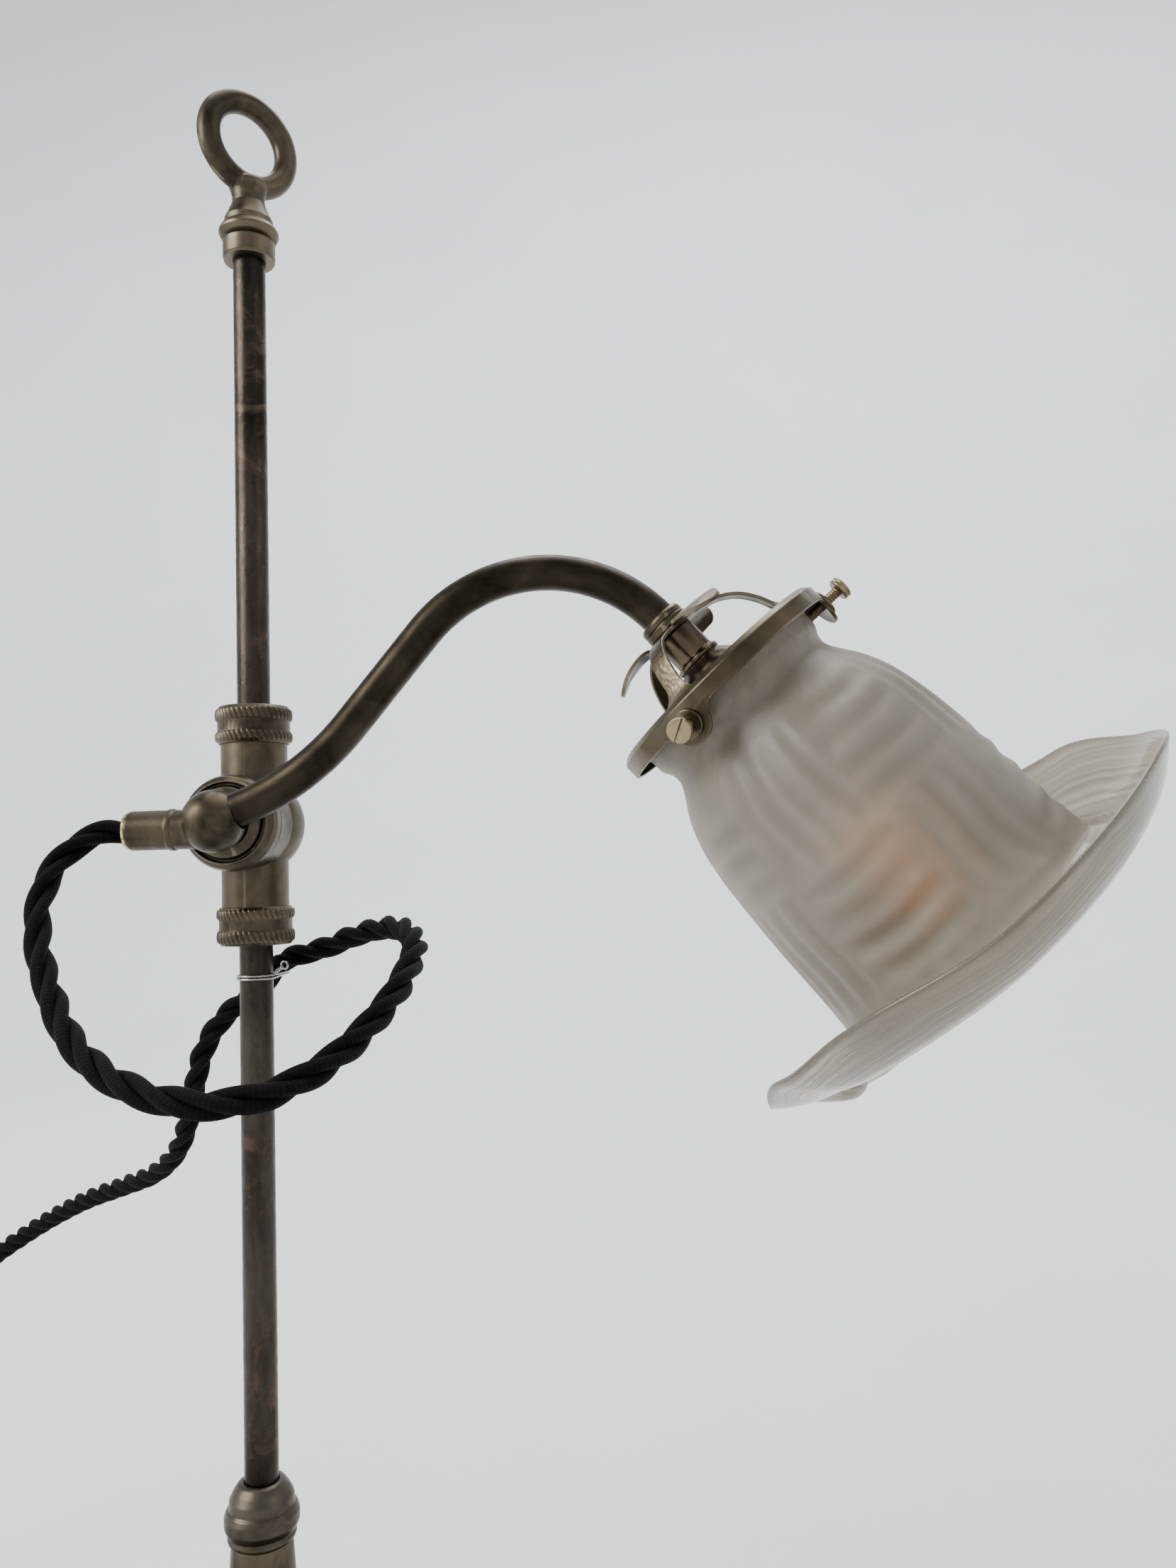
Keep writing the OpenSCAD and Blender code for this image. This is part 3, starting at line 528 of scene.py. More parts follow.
BRONZE = aged_metal(
    "aged_bronze", (0.03, 0.025, 0.017), (0.085, 0.071, 0.049), (0.2, 0.168, 0.118)
)
DARK_BRONZE = aged_metal(
    "dark_bronze", (0.011, 0.009, 0.006), (0.032, 0.026, 0.018), (0.095, 0.078, 0.053), grain=2.0
)
WORN_BRASS = aged_metal(
    "worn_brass", (0.032, 0.026, 0.016), (0.074, 0.06, 0.039), (0.26, 0.22, 0.15), (0.26, 0.44)
)
HAMMERED = aged_metal(
    "hammered_brass", (0.06, 0.05, 0.031), (0.135, 0.114, 0.076), (0.3, 0.26, 0.18),
    (0.28, 0.45), hammered=0.16 * MM,
)
HOLDER_BRASS = aged_metal(
    "holder_brass", (0.05, 0.038, 0.026), (0.12, 0.094, 0.062), (0.3, 0.25, 0.17), (0.2, 0.4)
)
SCREW_BRASS = aged_metal(
    "screw_brass", (0.12, 0.09, 0.048), (0.26, 0.205, 0.12), (0.48, 0.4, 0.25), (0.24, 0.42)
)
BRIGHT_BRASS = aged_metal(
    "bright_brass", (0.38, 0.27, 0.1), (0.62, 0.46, 0.2), (0.8, 0.64, 0.34), (0.16, 0.32)
)
WIRE = aged_metal("wire", (0.16, 0.16, 0.155), (0.28, 0.28, 0.27), (0.45, 0.45, 0.44), (0.18, 0.34))
DULL_BRASS = aged_metal(
    "dull_brass", (0.028, 0.024, 0.018), (0.07, 0.06, 0.045), (0.18, 0.16, 0.125), (0.3, 0.5)
)
IRON = aged_metal(
    "iron", (0.03, 0.028, 0.027), (0.07, 0.066, 0.062), (0.12, 0.11, 0.1), (0.5, 0.75), 4
)
STEEL = pitted_steel()
CORD = braid("cord_fabric", (0.0014, 0.0013, 0.0014), 0.0, 10, 2.6 * MM)
TWINE = braid("twine", (0.035, 0.033, 0.032), 0.5, 4, 1.6 * MM)
FELT = fibrous("felt", (0.02, 0.04, 0.02), (0.04, 0.07, 0.036))
LEATHER = fibrous("leather", (0.1, 0.045, 0.02), (0.2, 0.1, 0.05), 700, 0.2 * MM, 0.1)
FIBRE = fibrous("fibre", (0.14, 0.03, 0.015), (0.24, 0.06, 0.03), 900, 0.1 * MM, 0.1)
BAKELITE = moulded("bakelite", (0.012, 0.006, 0.004), (0.035, 0.016, 0.01), (0.12, 0.26), coat=0.4)
PORCELAIN = moulded("porcelain", (0.62, 0.58, 0.5), (0.82, 0.79, 0.72), (0.1, 0.24), coat=0.5)
RUBBER = moulded("flex_rubber", (0.01, 0.01, 0.01), (0.026, 0.025, 0.024), (0.5, 0.75))
SHADE_GLASS = shade_glass_material()
LAMP_GLASS = lamp_glass_material()
FILAMENT = glowing_wire()


# --- the cord, as three braided cores twisted together ---

LOOP_ROUTE = [
    (-0.0242, -0.0415, 0.3429), (-0.0282, -0.0415, 0.3429), (-0.035, -0.043, 0.343),
    (-0.043, -0.047, 0.339), (-0.048, -0.054, 0.331), (-0.048, -0.063, 0.32),
    (-0.043, -0.073, 0.307), (-0.034, -0.084, 0.295), (-0.021, -0.098, 0.283),
    (-0.006, -0.11, 0.275), (0.011, -0.119, 0.27), (0.027, -0.123, 0.268),
    (0.041, -0.12, 0.269), (0.052, -0.111, 0.273), (0.06, -0.098, 0.279),
    (0.066, -0.083, 0.287), (0.0687, -0.071, 0.293),
]
LOOP_END = (0.069, -0.064, 0.296)
LINK_ROUTE = [
    (0.0693, -0.057, 0.299), (0.068, -0.046, 0.303), (0.061, -0.029, 0.307),
    (0.05, -0.014, 0.307), (0.037, -0.002, 0.304), (0.024, 0.007, 0.2995),
    (0.014, 0.012, 0.297), (0.005, 0.0154, 0.2942),
]
TIED_AT = (0.001, 0.016, 0.29)
TAIL_ROUTE = [
    (-0.003, 0.0166, 0.2858), (-0.009, 0.0175, 0.281), (-0.016, 0.0185, 0.276),
    (-0.023, 0.02, 0.269), (-0.029, 0.022, 0.259), (-0.034, 0.027, 0.246),
    (-0.04, 0.035, 0.231), (-0.049, 0.046, 0.217), (-0.064, 0.061, 0.205),
    (-0.086, 0.079, 0.195), (-0.11, 0.096, 0.185), (-0.132, 0.11, 0.174),
    (-0.153, 0.121, 0.162), (-0.173, 0.128, 0.149), (-0.192, 0.13, 0.132),
    (-0.208, 0.127, 0.111), (-0.219, 0.119, 0.086), (-0.225, 0.107, 0.059),
    (-0.226, 0.091, 0.034), (-0.222, 0.073, 0.016), (-0.216, 0.054, 0.007),
    (-0.211, 0.034, 0.0053),
]
LEAD_ROUTE = [
    (-0.131, -0.055, 0.012), (-0.124, -0.056, 0.0135), (-0.1175, -0.0595, 0.0155),
    (-0.1133, -0.0655, 0.0168), (-0.112, -0.072, 0.017), (-0.112, -0.078, 0.017),
]
CORE_R = 0.464 * CORD_R
CORE_OUT = 1.1547 * CORE_R
CORE_SIDES = 12
CORD_STEP = 1.5 * MM
FRONT_LAY, TIE_LAY, FAR_LAY = 46 * MM, 36 * MM, 23 * MM


def eased(x):
    return (1 - math.cos(math.pi * min(1.0, max(0.0, x)))) / 2


FIRST_TURN, LAST_TURN, TURN_STEP = 180, 1361, 15
LANE_CHANGES, CLIMB_FROM, LEAVES_FROM = (490, 815), 1140, 1325
LEAVES_AT_R, HUMP = 60 * MM, 1.2 * MM


def coil_route():
    """Three turns side by side, from the outside in, then part of one on top of them."""
    lane = 2 * CORD_R
    outer, inner = COIL_MID_R + lane, COIL_MID_R - lane
    floor_z = 1 * MM + CORD_R
    top_z = floor_z + lane * math.sin(math.pi / 3)
    points = []
    for turn in range(FIRST_TURN, LAST_TURN, TURN_STEP):
        r = outer - lane * sum(eased((turn - change) / 35) for change in LANE_CHANGES)
        z = floor_z
        if turn > CLIMB_FROM:
            roll = math.radians(180 - 60 * min(1.0, (turn - CLIMB_FROM) / 35))
            r = COIL_MID_R + lane * math.cos(roll)
            z = floor_z + lane * math.sin(roll)
            z += HUMP * math.sin(math.pi * min(1.0, max(0.0, (turn - CLIMB_FROM - 30) / 45)))
        if turn > LEAVES_FROM:
            left = (turn - LEAVES_FROM) / 44
            r += (LEAVES_AT_R - inner) * left**1.5
            z = top_z + HUMP * math.sin(math.pi * left)
        if turn == FIRST_TURN:
            r += 0.8 * MM
        a = math.radians(turn)
        points.append((COIL_AT.x + r * math.cos(a), COIL_AT.y + r * math.sin(a), z))
    return points


def lay_at(s, tied, tail_end):
    """Length of one turn of the twist: long at the front, tighter towards the floor."""
    return np.interp(
        s, [0, tied - 60 * MM, tied, tied + 120 * MM, tied + 300 * MM, tail_end],
        [FRONT_LAY, FRONT_LAY, TIE_LAY, TIE_LAY, FAR_LAY, FAR_LAY],
    )


whole_route = [*LOOP_ROUTE, LOOP_END, *LINK_ROUTE, TIED_AT, *TAIL_ROUTE, *coil_route(), *LEAD_ROUTE]
centre, along = smooth_path(whole_route, CORD_STEP)
loop_cut = int(np.argmin(np.linalg.norm(centre - LOOP_END, axis=1)))
tie_cut = int(np.argmin(np.linalg.norm(centre - TIED_AT, axis=1)))
_, normal, binormal = carried_frames(centre)
twist = np.concatenate(
    ([0], np.cumsum(math.tau * np.diff(along) / lay_at(along, along[tie_cut], along[-1])[1:]))
)


def cord_piece(name, start, end):
    """Three cores round the centre line, between two of its points."""
    part = slice(start, end + 1)
    verts, faces, uvs = [], [], []
    for core in range(3):
        a = (twist[part] + core * math.tau / 3)[:, None]
        side = np.cos(a) * normal[part] + np.sin(a) * binormal[part]
        route = centre[part] + CORE_OUT * side
        ring, ring_faces = tube_mesh(route, CORE_R, CORE_SIDES, normal[start])
        faces += [tuple(v + len(verts) for v in f) for f in ring_faces]
        verts += list(ring)
        uvs += braid_uvs(along[part], CORE_SIDES)
    return new_piece(name, verts, faces, CORD, uvs)


cord_loop = cord_piece("cord_front_loop", 0, loop_cut)
cord_link = cord_piece("cord_round_rod", loop_cut, tie_cut)
cord_tail = cord_piece("cord_tail_and_coil", tie_cut, len(centre) - 1)
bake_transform(cord_loop)
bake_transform(cord_link)
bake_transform(cord_tail)
for cord, *cad in ((cord_loop, "cord_loop"), (cord_link, "cord_link"),
                   (cord_tail, "cord_tail", "cord_coil", "plug_lead")):
    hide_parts(*cad)


# --- slider: sleeve, knurled caps, pivot ---


CAP_OUTLINE = [
    (11.95, 29.9), (12.85, 29.9), (12.85, 30.5), (13.95, 30.8), (13.95, 34.0), (13.05, 34.6),
    (13.05, 38.1), (13.95, 38.6), (13.95, 42.5), (12.85, 42.9), (12.55, 43.6), (6.6, 43.6),
    (6.6, 42.3), (10.05, 42.3), (10.05, 33.6), (11.95, 33.6),
]
KNURL_BANDS = [(30.8, 34.0), (38.6, 42.5)]
KNURL_TEETH, KNURL_DEPTH, KNURL_FROM_R = 42, 0.55, 13
SLEEVE_MIDDLE = Matrix.Translation((0, 0, PIVOT_Z))
UPSIDE_DOWN = SLEEVE_MIDDLE @ Matrix.Rotation(math.pi, 4, "X")


def knurled_cap(name, axis):
    """A turned cap whose bands, given as (low, high) heights, carry a slanting rope knurl."""
    line = [CAP_OUTLINE[0]]
    for point in CAP_OUTLINE[1:]:
        start = line[-1]
        low_end, high_end = sorted((start[1], point[1]))
        on_band = any(
            low_end >= low - 0.01 and high_end <= high + 0.01 for low, high in KNURL_BANDS
        )
        if on_band and start[0] == point[0]:
            line += [(start[0], h) for h in np.linspace(start[1], point[1], 11)[1:-1]]
        line.append(point)
    r, h = np.array(line).T
    turns = turns_of(8 * KNURL_TEETH)[:, None]
    radius = np.tile(r, (len(turns), 1))
    for low, high in KNURL_BANDS:
        inside = (h >= low) & (h <= high) & (r > KNURL_FROM_R)
        across = np.clip((h - low) / (high - low), 0, 1)
        swell = np.sin(math.pi * across) ** 0.5
        groove = 1 - np.abs(np.cos(KNURL_TEETH / 2 * turns + 2.2 * (across - 0.5)))
        radius -= np.where(inside, KNURL_DEPTH * (groove**1.6 + 0.7 * (1 - swell)), 0)
    return keep_flats(spun(name, radius, h, axis, BRONZE, True))


for cad, axis in (("upper_cap", SLEEVE_MIDDLE), ("lower_cap", UPSIDE_DOWN)):
    stand_for(knurled_cap(f"{cad}_knurled", axis), "slider", "aged_bronze", cad)

turned(
    "sleeve_tube", "slider", "aged_bronze", ["slider_sleeve"],
    [(10.05, -33.6), (11.95, -33.6), (11.95, 33.6), (10.05, 33.6)],
    SLEEVE_MIDDLE, BRONZE, 0.3, closed=True,
)


def ball_outline(radius, first, last, steps=28):
    """Points of a circle's edge between two angles from the axis, in degrees."""
    return [
        (radius * math.sin(a), radius * math.cos(a))
        for a in np.radians(np.linspace(first, last, steps))
    ]


HOUSING_R, BOSS_R = 17.9, 16.3
boss_meets_ball = math.degrees(math.asin(BOSS_R / HOUSING_R))
turned(
    "housing_ball", "slider", "aged_bronze", ["pivot_housing"],
    [(0.01, -HOUSING_R), *ball_outline(HOUSING_R, 178, boss_meets_ball), (BOSS_R, 8.6),
     (BOSS_R, 19.7),
     (15.7, 20.5), (13.2, 20.5), (12.6, 19.9), (12.6, 18.5), (0.01, 18.5)],
    PIVOT_AXIS, BRONZE, 0.25, 160,
)

# --- arm: domed disc, ball with its seam, inlet and swan neck ---

turned(
    "domed_disc", "arm", "aged_bronze", ["pivot_dome"],
    [(4, 20.8), (15.9, 20.8), (16.9, 22), (16.9, 25.8), (16, 28.4), (14.6, 29.6), (14.6, 30.4),
     (13.9, 30.9), (13.7, 29.2), (12.7, 29.2), (12.3, 31.4), (9.2, 32.8)],
    PIVOT_AXIS, BRONZE, 0.5, 160,
)

ARM_HEADING = math.radians(18)
BALL_AT = Vector((0, ARM_Y, PIVOT_Z))
ARM_AXIS = Matrix.Translation(BALL_AT) @ Matrix.Rotation(math.pi / 2 - ARM_HEADING, 4, "Y")
BALL_R, SEAM_UP = 10.6, 5.6
seam = math.degrees(math.acos(SEAM_UP / BALL_R))
turned(
    "arm_ball_seamed", "arm", "aged_bronze", ["arm_ball"],
    [*ball_outline(BALL_R, 179.9, seam + 2, 40), (8.85, 5.75), (8.7, 5.95),
     *ball_outline(BALL_R, seam - 2, 34, 18), (TUBE_R / MM + 0.15, 8.7)],
    ARM_AXIS, BRONZE, 0.08, 128,
)

INLET_AXIS = Matrix.Translation((0, ARM_Y, 0.3429)) @ Matrix.Rotation(-math.pi / 2, 4, "Y")
turned(
    "inlet_sleeve", "arm", "aged_bronze", ["cord_inlet"],
    [(5.2, 6), (6.65, 6), (6.65, 12.4), (7.05, 12.8), (7.05, 14.2), (6.65, 14.6), (6.65, 27.5),
     (6.2, 28.2), (5.2, 28.2)],
    INLET_AXIS, BRONZE, 0.3, 96, closed=True,
)


LOWER_BEND_R, UPPER_BEND_R = 90, 52
LOWER_BEND_AT = np.array((-22.11, ARM_Y / MM, 433.7))
STRAIGHT_HEADING, STRAIGHT_LENGTH = 50, 39.5


def heading(degrees):
    """Directions along and across the arm's plane at an angle above level."""
    a = math.radians(degrees)
    return np.array((math.cos(a), 0, math.sin(a))), np.array((-math.sin(a), 0, math.cos(a)))


def arm_route():
    """The swan neck: a long arc up, a straight, and a tighter arc over into the head."""
    lower = [LOWER_BEND_AT - LOWER_BEND_R * heading(h)[1] for h in np.linspace(18, 50, 25)]
    up, over = heading(STRAIGHT_HEADING)
    straight = [lower[-1] + up * s for s in np.linspace(0, STRAIGHT_LENGTH, 14)[1:]]
    middle = straight[-1] - UPPER_BEND_R * over
    upper = [middle + UPPER_BEND_R * heading(h)[1] for h in np.linspace(50, -48, 66)[1:]]
    down, _ = heading(-48)
    hub = np.array(BAND_AT) / MM - down * (HUB_UP / MM)
    reach = float(np.linalg.norm(hub - upper[-1]))
    tail = [upper[-1] + down * s for s in np.linspace(0, reach, max(2, int(reach / 2)))[1:]]
    root = [lower[0] + heading(18)[0] * s for s in (-4.0, -2.0)]
    return np.array([*root, *lower, *straight, *upper, *tail]) * MM


def swan_neck(path, sides=48):
    """A round bar along a path, with flat ends."""
    _, n, b = carried_frames(path, (0, 1, 0))
    verts = (path[:, None] + TUBE_R * ring_offsets(n, b, sides)).reshape(-1, 3)
    faces = grid_faces(len(path), sides, False, True)
    faces += [tuple(range(sides))[::-1], tuple(range(len(verts) - sides, len(verts)))]
    return keep_flats(new_piece("swan_neck", verts, faces, DARK_BRONZE))


stand_for(swan_neck(arm_route()), "arm", "aged_bronze", "arm_tube")

# --- gallery: nut, hub, straps, leaf tongues, band with ears ---

turned(
    "collar_nut_turned", "arm", "worn_brass", ["collar_nut"],
    [(5.95, -30.4), (7.2, -30.4), (7.9, -29.4), (7.95, -27.9), (7.6, -27.6), (7.95, -27.3),
     (8, -25.1), (7.6, -24.3), (5.95, -24.3)],
    HEAD, WORN_BRASS, 0.25, 96, closed=True,
)


def plate(name, sides, count, columns, material):
    """Closes two like grids of points, one on each side of a plate, and softens its edges."""
    low, high = (np.array(side).reshape(-1, 3) for side in sides)
    total = len(low)
    faces = grid_faces(count, columns)
    faces += [tuple(v + total for v in f[::-1]) for f in faces]
    rim = list(range(columns)) + [i * columns + columns - 1 for i in range(1, count)]
    rim += [(count - 1) * columns + k for k in range(columns - 2, -1, -1)]
    rim += [i * columns for i in range(count - 2, 0, -1)]
    faces += [(a, a + total, b + total, b) for a, b in zip(rim, rim[1:] + rim[:1])]
    return bevelled(new_piece(name, np.vstack((low, high)), faces, material), 0.25 * MM)


def sheet(name, profile, half_width, turn, thick, columns=13):
    """A bent strip of sheet. profile is (radius, distance) along its middle, half_width gives
    half its width from the radius and the share of its length, and it wraps round the axis."""
    path, run = smooth_path([(r, d, 0) for r, d in profile], 0.7)
    run = run / run[-1]
    slope = unit_rows(np.gradient(path, axis=0))
    sides = []
    for off in (-thick / 2, thick / 2):
        rows = []
        for (r, d, _), (tr, td, _), f in zip(path, slope, run):
            r, d = r - td * off, d + tr * off
            wide = half_width(r, f)
            bend = max(r, 20.0)
            row = []
            for x in np.linspace(-wide, wide, columns):
                out = r - bend * (1 - math.cos(x / bend))
                over = bend * math.sin(x / bend)
                reach, more = math.hypot(out, over), math.degrees(math.atan2(over, out))
                row.append(head_point(reach * MM, turn + more, d * MM))
            rows.append(row)
        sides.append(rows)
    return plate(name, sides, len(path), columns, HAMMERED)


def strap_width(_, f):
    """Narrow in the middle, with fillets into the hub and into the band."""
    return 3.2 + 5.0 * max(0.0, 1 - f / 0.16) ** 2 + 8.5 * max(0.0, (f - 0.72) / 0.28) ** 2.2


def tongue_width(r, _):
    """A round leaf on a short stalk."""
    leaf = 8.8**2 - (r - 18) ** 2
    return max(3.0 if r < 16 else 0.6, math.sqrt(leaf) if leaf > 0 else 0.0)


STRAP = [(6.5, -23.7), (9.6, -23.7), (18.3, -21.9), (24.2, -17.9), (28.0, -12.4),
         (30.7, -6.4), (33.6, -3.8), (37.5, -3.4)]
TONGUE = [(8.6, -23.6), (16, -24.2), (22, -23.0), (26.6, -19.9)]
SCREW_TURNS = (-30, 90, -150)
gallery = [
    sheet(f"gallery_strap_{k + 1}", STRAP, strap_width, turn, 1.2)
    for k, turn in enumerate(SCREW_TURNS)
]
gallery += [
    sheet(f"gallery_leaf_{k + 1}", TONGUE, tongue_width, turn, 1.1)
    for k, turn in enumerate((30, -90, 150))
]
gallery.append(
    lathe("gallery_hub", [(5.35, -24.3), (10.4, -24.3), (10.4, -23.1), (5.35, -23.1)], HEAD,
          HAMMERED, 0.3, 96, closed=True)
)
gallery.append(
    lathe(
        "gallery_band",
        [(34.6, -4), (39.7, -4), (41.7, -2.2), (41.7, 3.1), (40.5, 3.1), (40.5, -1.9),
         (39.3, -2.8), (34.6, -2.8)],
        HEAD, WORN_BRASS, 0.5, 192, closed=True,
    )
)


def ear(name, turn):
    """A round lug below the band, with a concave fillet on each side."""
    reach, fillet, lug, meets = 10.55, 4.0, 7.0, 6.71
    rows, top_at, middle_r = 9, 1.6, 41
    xs = np.linspace(-reach, reach, 57)
    sides = []
    for r in (40.5, 41.7):
        side = []
        for x in xs:
            near = abs(x)
            if near < meets:
                end = 4 + math.sqrt(lug**2 - near**2)
            else:
                end = 7.1 - math.sqrt(max(0.0, fillet**2 - (near - reach) ** 2))
            for d in np.linspace(top_at, end, rows):
                side.append(head_point(r * MM, turn + math.degrees(x / middle_r), d * MM))
        sides.append(side)
    return plate(name, sides, len(xs), rows, WORN_BRASS)


gallery += [ear(f"gallery_ear_{k + 1}", turn) for k, turn in enumerate(SCREW_TURNS)]
stand_together(gallery, "arm", "worn_brass", "gallery")

# --- screws with real threads, slotted heads and locknuts ---


def bar_axis(turn, down):
    """A frame whose Z points out from the head's axis at a turn, at a distance below the band."""
    z = (head_point(1, turn, 0) - head_point(0, turn, 0)).normalized()
    x = HEAD_AXIS
    facing = Matrix((x, z.cross(x), z)).transposed().to_4x4()
    return Matrix.Translation(head_point(0, turn, down * MM)) @ facing


def screw_shank(name, axis):
    """A screw's shank with a real thread, closed at its tip."""
    tip_at, head_at, radius, pitch, steps = 35.1, 48.25, 1.9, 0.9, 24
    heights = np.arange(tip_at, head_at, pitch / 7)
    phase = (heights / pitch - turns_of(steps)[:, None] / math.tau) % 1
    r = radius - 0.3 * np.abs(2 * phase - 1) ** 0.8
    r[:, 0] *= 0.6
    tip = tuple(range(0, steps * len(heights), len(heights)))
    return spun(name, r, heights, axis, SCREW_BRASS, False, [tip])


def screw_face(name, side, axis):
    """The part of a screw's face on one side of its slot."""
    radius, half_slot, low, high = 3.9, 0.4, 49.79, 50.8
    first = math.asin(half_slot / radius)
    polygon = [
        (side * radius * math.sin(a), side * radius * math.cos(a))
        for a in np.linspace(first, math.pi - first, 25)
    ]
    count = len(polygon)
    verts = [(x * MM, y * MM, h * MM) for h in (low, high) for x, y in polygon]
    faces = [tuple(range(count))[::-1], tuple(range(count, 2 * count))]
    faces += [(i, (i + 1) % count, count + (i + 1) % count, count + i) for i in range(count)]
    piece = new_piece(name, verts, faces, SCREW_BRASS)
    piece.data.transform(axis)
    return bevelled(piece, 0.3 * MM, 3)


SLOT_LEAN = {-30: 25, 90: 70, -150: -40}
for k, turn in enumerate(SCREW_TURNS):
    axis = bar_axis(turn, 4)
    leaning = axis @ Matrix.Rotation(math.radians(SLOT_LEAN[turn]), 4, "Z")
    pieces = [
        screw_shank(f"screw_{k + 1}_shank", axis),
        lathe(
            f"screw_{k + 1}_head",
            [(0.01, 48.2), (3.5, 48.2), (3.9, 48.7), (3.9, 49.8), (0.01, 49.8)],
            axis, SCREW_BRASS, 0.15, 64,
        ),
        screw_face(f"screw_{k + 1}_face_a", 1, leaning),
        screw_face(f"screw_{k + 1}_face_b", -1, leaning),
    ]
    stand_together(pieces, "arm", "screw_brass", *["gallery_screws"][k:])
    turned(
        f"locknut_{k + 1}", "arm", "screw_brass", ["gallery_locknuts"][k:],
        [(2.0, 41.8), (4.4, 41.8), (4.7, 42.1), (4.7, 42.8), (4.4, 43.1), (2.0, 43.1)],
        axis, HOLDER_BRASS, 0.1, 64, closed=True,
    )

# --- lampholder and lamp ---

turned(
    "holder_dome", "arm", "holder_brass", ["lampholder_dome"],
    [(4.65, -23.1), (7, -23.1), (7, -12.6), (8.2, -12.2), (8.2, -10.8), (7.6, -10.4),
     (10.6, -7.6), (12.6, -5.2), (14, -3), (14, -2), (12.4, -2), (11, -4.8), (6, -9.6),
     (4.65, -9.6)],
    HEAD, HOLDER_BRASS, 0.6, 128, closed=True,
)
turned(
    "holder_shell", "arm", "holder_brass", ["lampholder_shell"],
    [(12.5, -2), (13.6, -2), (13.6, 3.2), (13.3, 3.6), (13.6, 4.0), (13.6, 15), (14.4, 15.6),
     (14.4, 18), (12.5, 18)],
    HEAD, HOLDER_BRASS, 0.3, 128, closed=True,
)

GLOBE_R, GLOBE_DOWN = 27.5, 79.5
globe = [(r, GLOBE_DOWN + d) for r, d in ball_outline(GLOBE_R, 0.2, 130, 60)]
lamp = turned(
    "lamp_globe", "arm", "bulb_glass", ["bulb_glass"],
    [*globe, (18.15, 55.85), (12.2, 48.7), (10.6, 43), (10.6, 28.1)],
    HEAD, LAMP_GLASS, 0.5, 96,
)
wall = lamp.modifiers.new("wall", "SOLIDIFY")
wall.thickness, wall.offset = 0.6 * MM, -1


def filament_route():
    """A squirrel cage: a wire that goes up and down round the lamp's axis."""
    legs, leg_turn, top, tip, top_r, tip_r = 11, 32, 66, 98, 8.5, 7
    points = []
    for leg in range(legs):
        ends = (top, tip) if leg % 2 == 0 else (tip, top)
        for d in np.linspace(*ends, 5):
            r = tip_r if d > 80 else top_r
            points.append(head_point(r * MM, leg_turn * leg - 60, d * MM))
    return points


cage = tube("filament_cage", filament_route(), 0.45 * MM, FILAMENT, 8, 0.8 * MM)
stand_for(cage, "arm", "filament", "bulb_filament")
turned(
    "lamp_stem", "arm", "bulb_glass", [],
    [(0.01, 30), (5.2, 30), (3.2, 42), (2.4, 54), (3.0, 58), (1.4, 60), (1.1, 96), (0.01, 97)],
    HEAD, LAMP_GLASS, 0.8, 48,
)
HOOK = [(1, 62), (4, 63.5), (8.3, 65.5)]
for k, turn in enumerate((0, 120, 240)):
    hook = [head_point(r * MM, turn, d * MM) for r, d in HOOK]
    stand_for(tube(f"lamp_support_{k + 1}", hook, 0.3 * MM, WIRE, 6, 0.8 * MM), "arm", "wire")


def coil_twine():
    """Three turns of twine round the coil's section."""
    half_w, half_h, middle_z, squareness, lay = 14.4, 8.5, 9.7, 0.55, 1.9
    a = math.radians(215)
    out, on = Vector((math.cos(a), math.sin(a), 0)), Vector((-math.sin(a), math.cos(a), 0))
    points = []
    for b in np.radians(np.arange(-90, 991, 15)):
        x = half_w * math.copysign(abs(math.cos(b)) ** squareness, math.cos(b))
        z = middle_z + half_h * math.copysign(abs(math.sin(b)) ** squareness, math.sin(b))
        lean = lay * (b / math.pi - 2.5)
        at = COIL_AT + out * (COIL_MID_R + x * MM) + on * lean * MM
        points.append(at + Vector((0, 0, z * MM)))
    return tube("coil_twine", points, 0.8 * MM, TWINE, 8, 0.6 * MM, braided=True)


stand_for(coil_twine(), "root", "cord_fabric", "coil_tie")

# --- shade: satin bell with its relief, clear brim with a wavy edge ---

BELL = [
    (37.8, -2.4), (38.3, -1.2), (37.0, 0.6), (34.6, 1.8), (34.4, 7), (32.6, 10.5), (32.4, 13.5),
    (34.6, 18), (38.4, 24), (42.2, 33), (44.8, 45), (46.4, 60), (47.6, 76), (48.3, 92),
    (48.9, 103), (49.6, 109),
]
EDGE_TURNS = (-180, -160, -135, -112, -90, -62, -38, 0, 38, 90, 120, 147, 180)
EDGE_R = (77, 66, 60, 69, 83, 84, 84, 84, 84, 84, 84, 84, 77)
EDGE_DOWN = (2, 20, 29, 23, 3, -8, -11, -5, -5, 0, -8, -11, 2)
BRIM_FROM, TIP_DOWN, GLASS_T = 109.0, 104.5, 2.6
RELIEF_DEPTH, RELIEF_FROM, RELIEF_ROWS = 1.05, 22, 2.15
BLOCK_TURN, BLOCK_DOWN = 45.0, 40.0
EDGE_MARK, EDGE_DEPTH, EDGE_POINTS = 0.55, 9.0, 9


def edge_at(turn):
    k = min(len(EDGE_TURNS) - 2, max(0, int(np.searchsorted(EDGE_TURNS, turn, "right")) - 1))
    f = eased((turn - EDGE_TURNS[k]) / (EDGE_TURNS[k + 1] - EDGE_TURNS[k]))
    return (EDGE_R[k] + f * (EDGE_R[k + 1] - EDGE_R[k]),
            TIP_DOWN + EDGE_DOWN[k] + f * (EDGE_DOWN[k + 1] - EDGE_DOWN[k]))


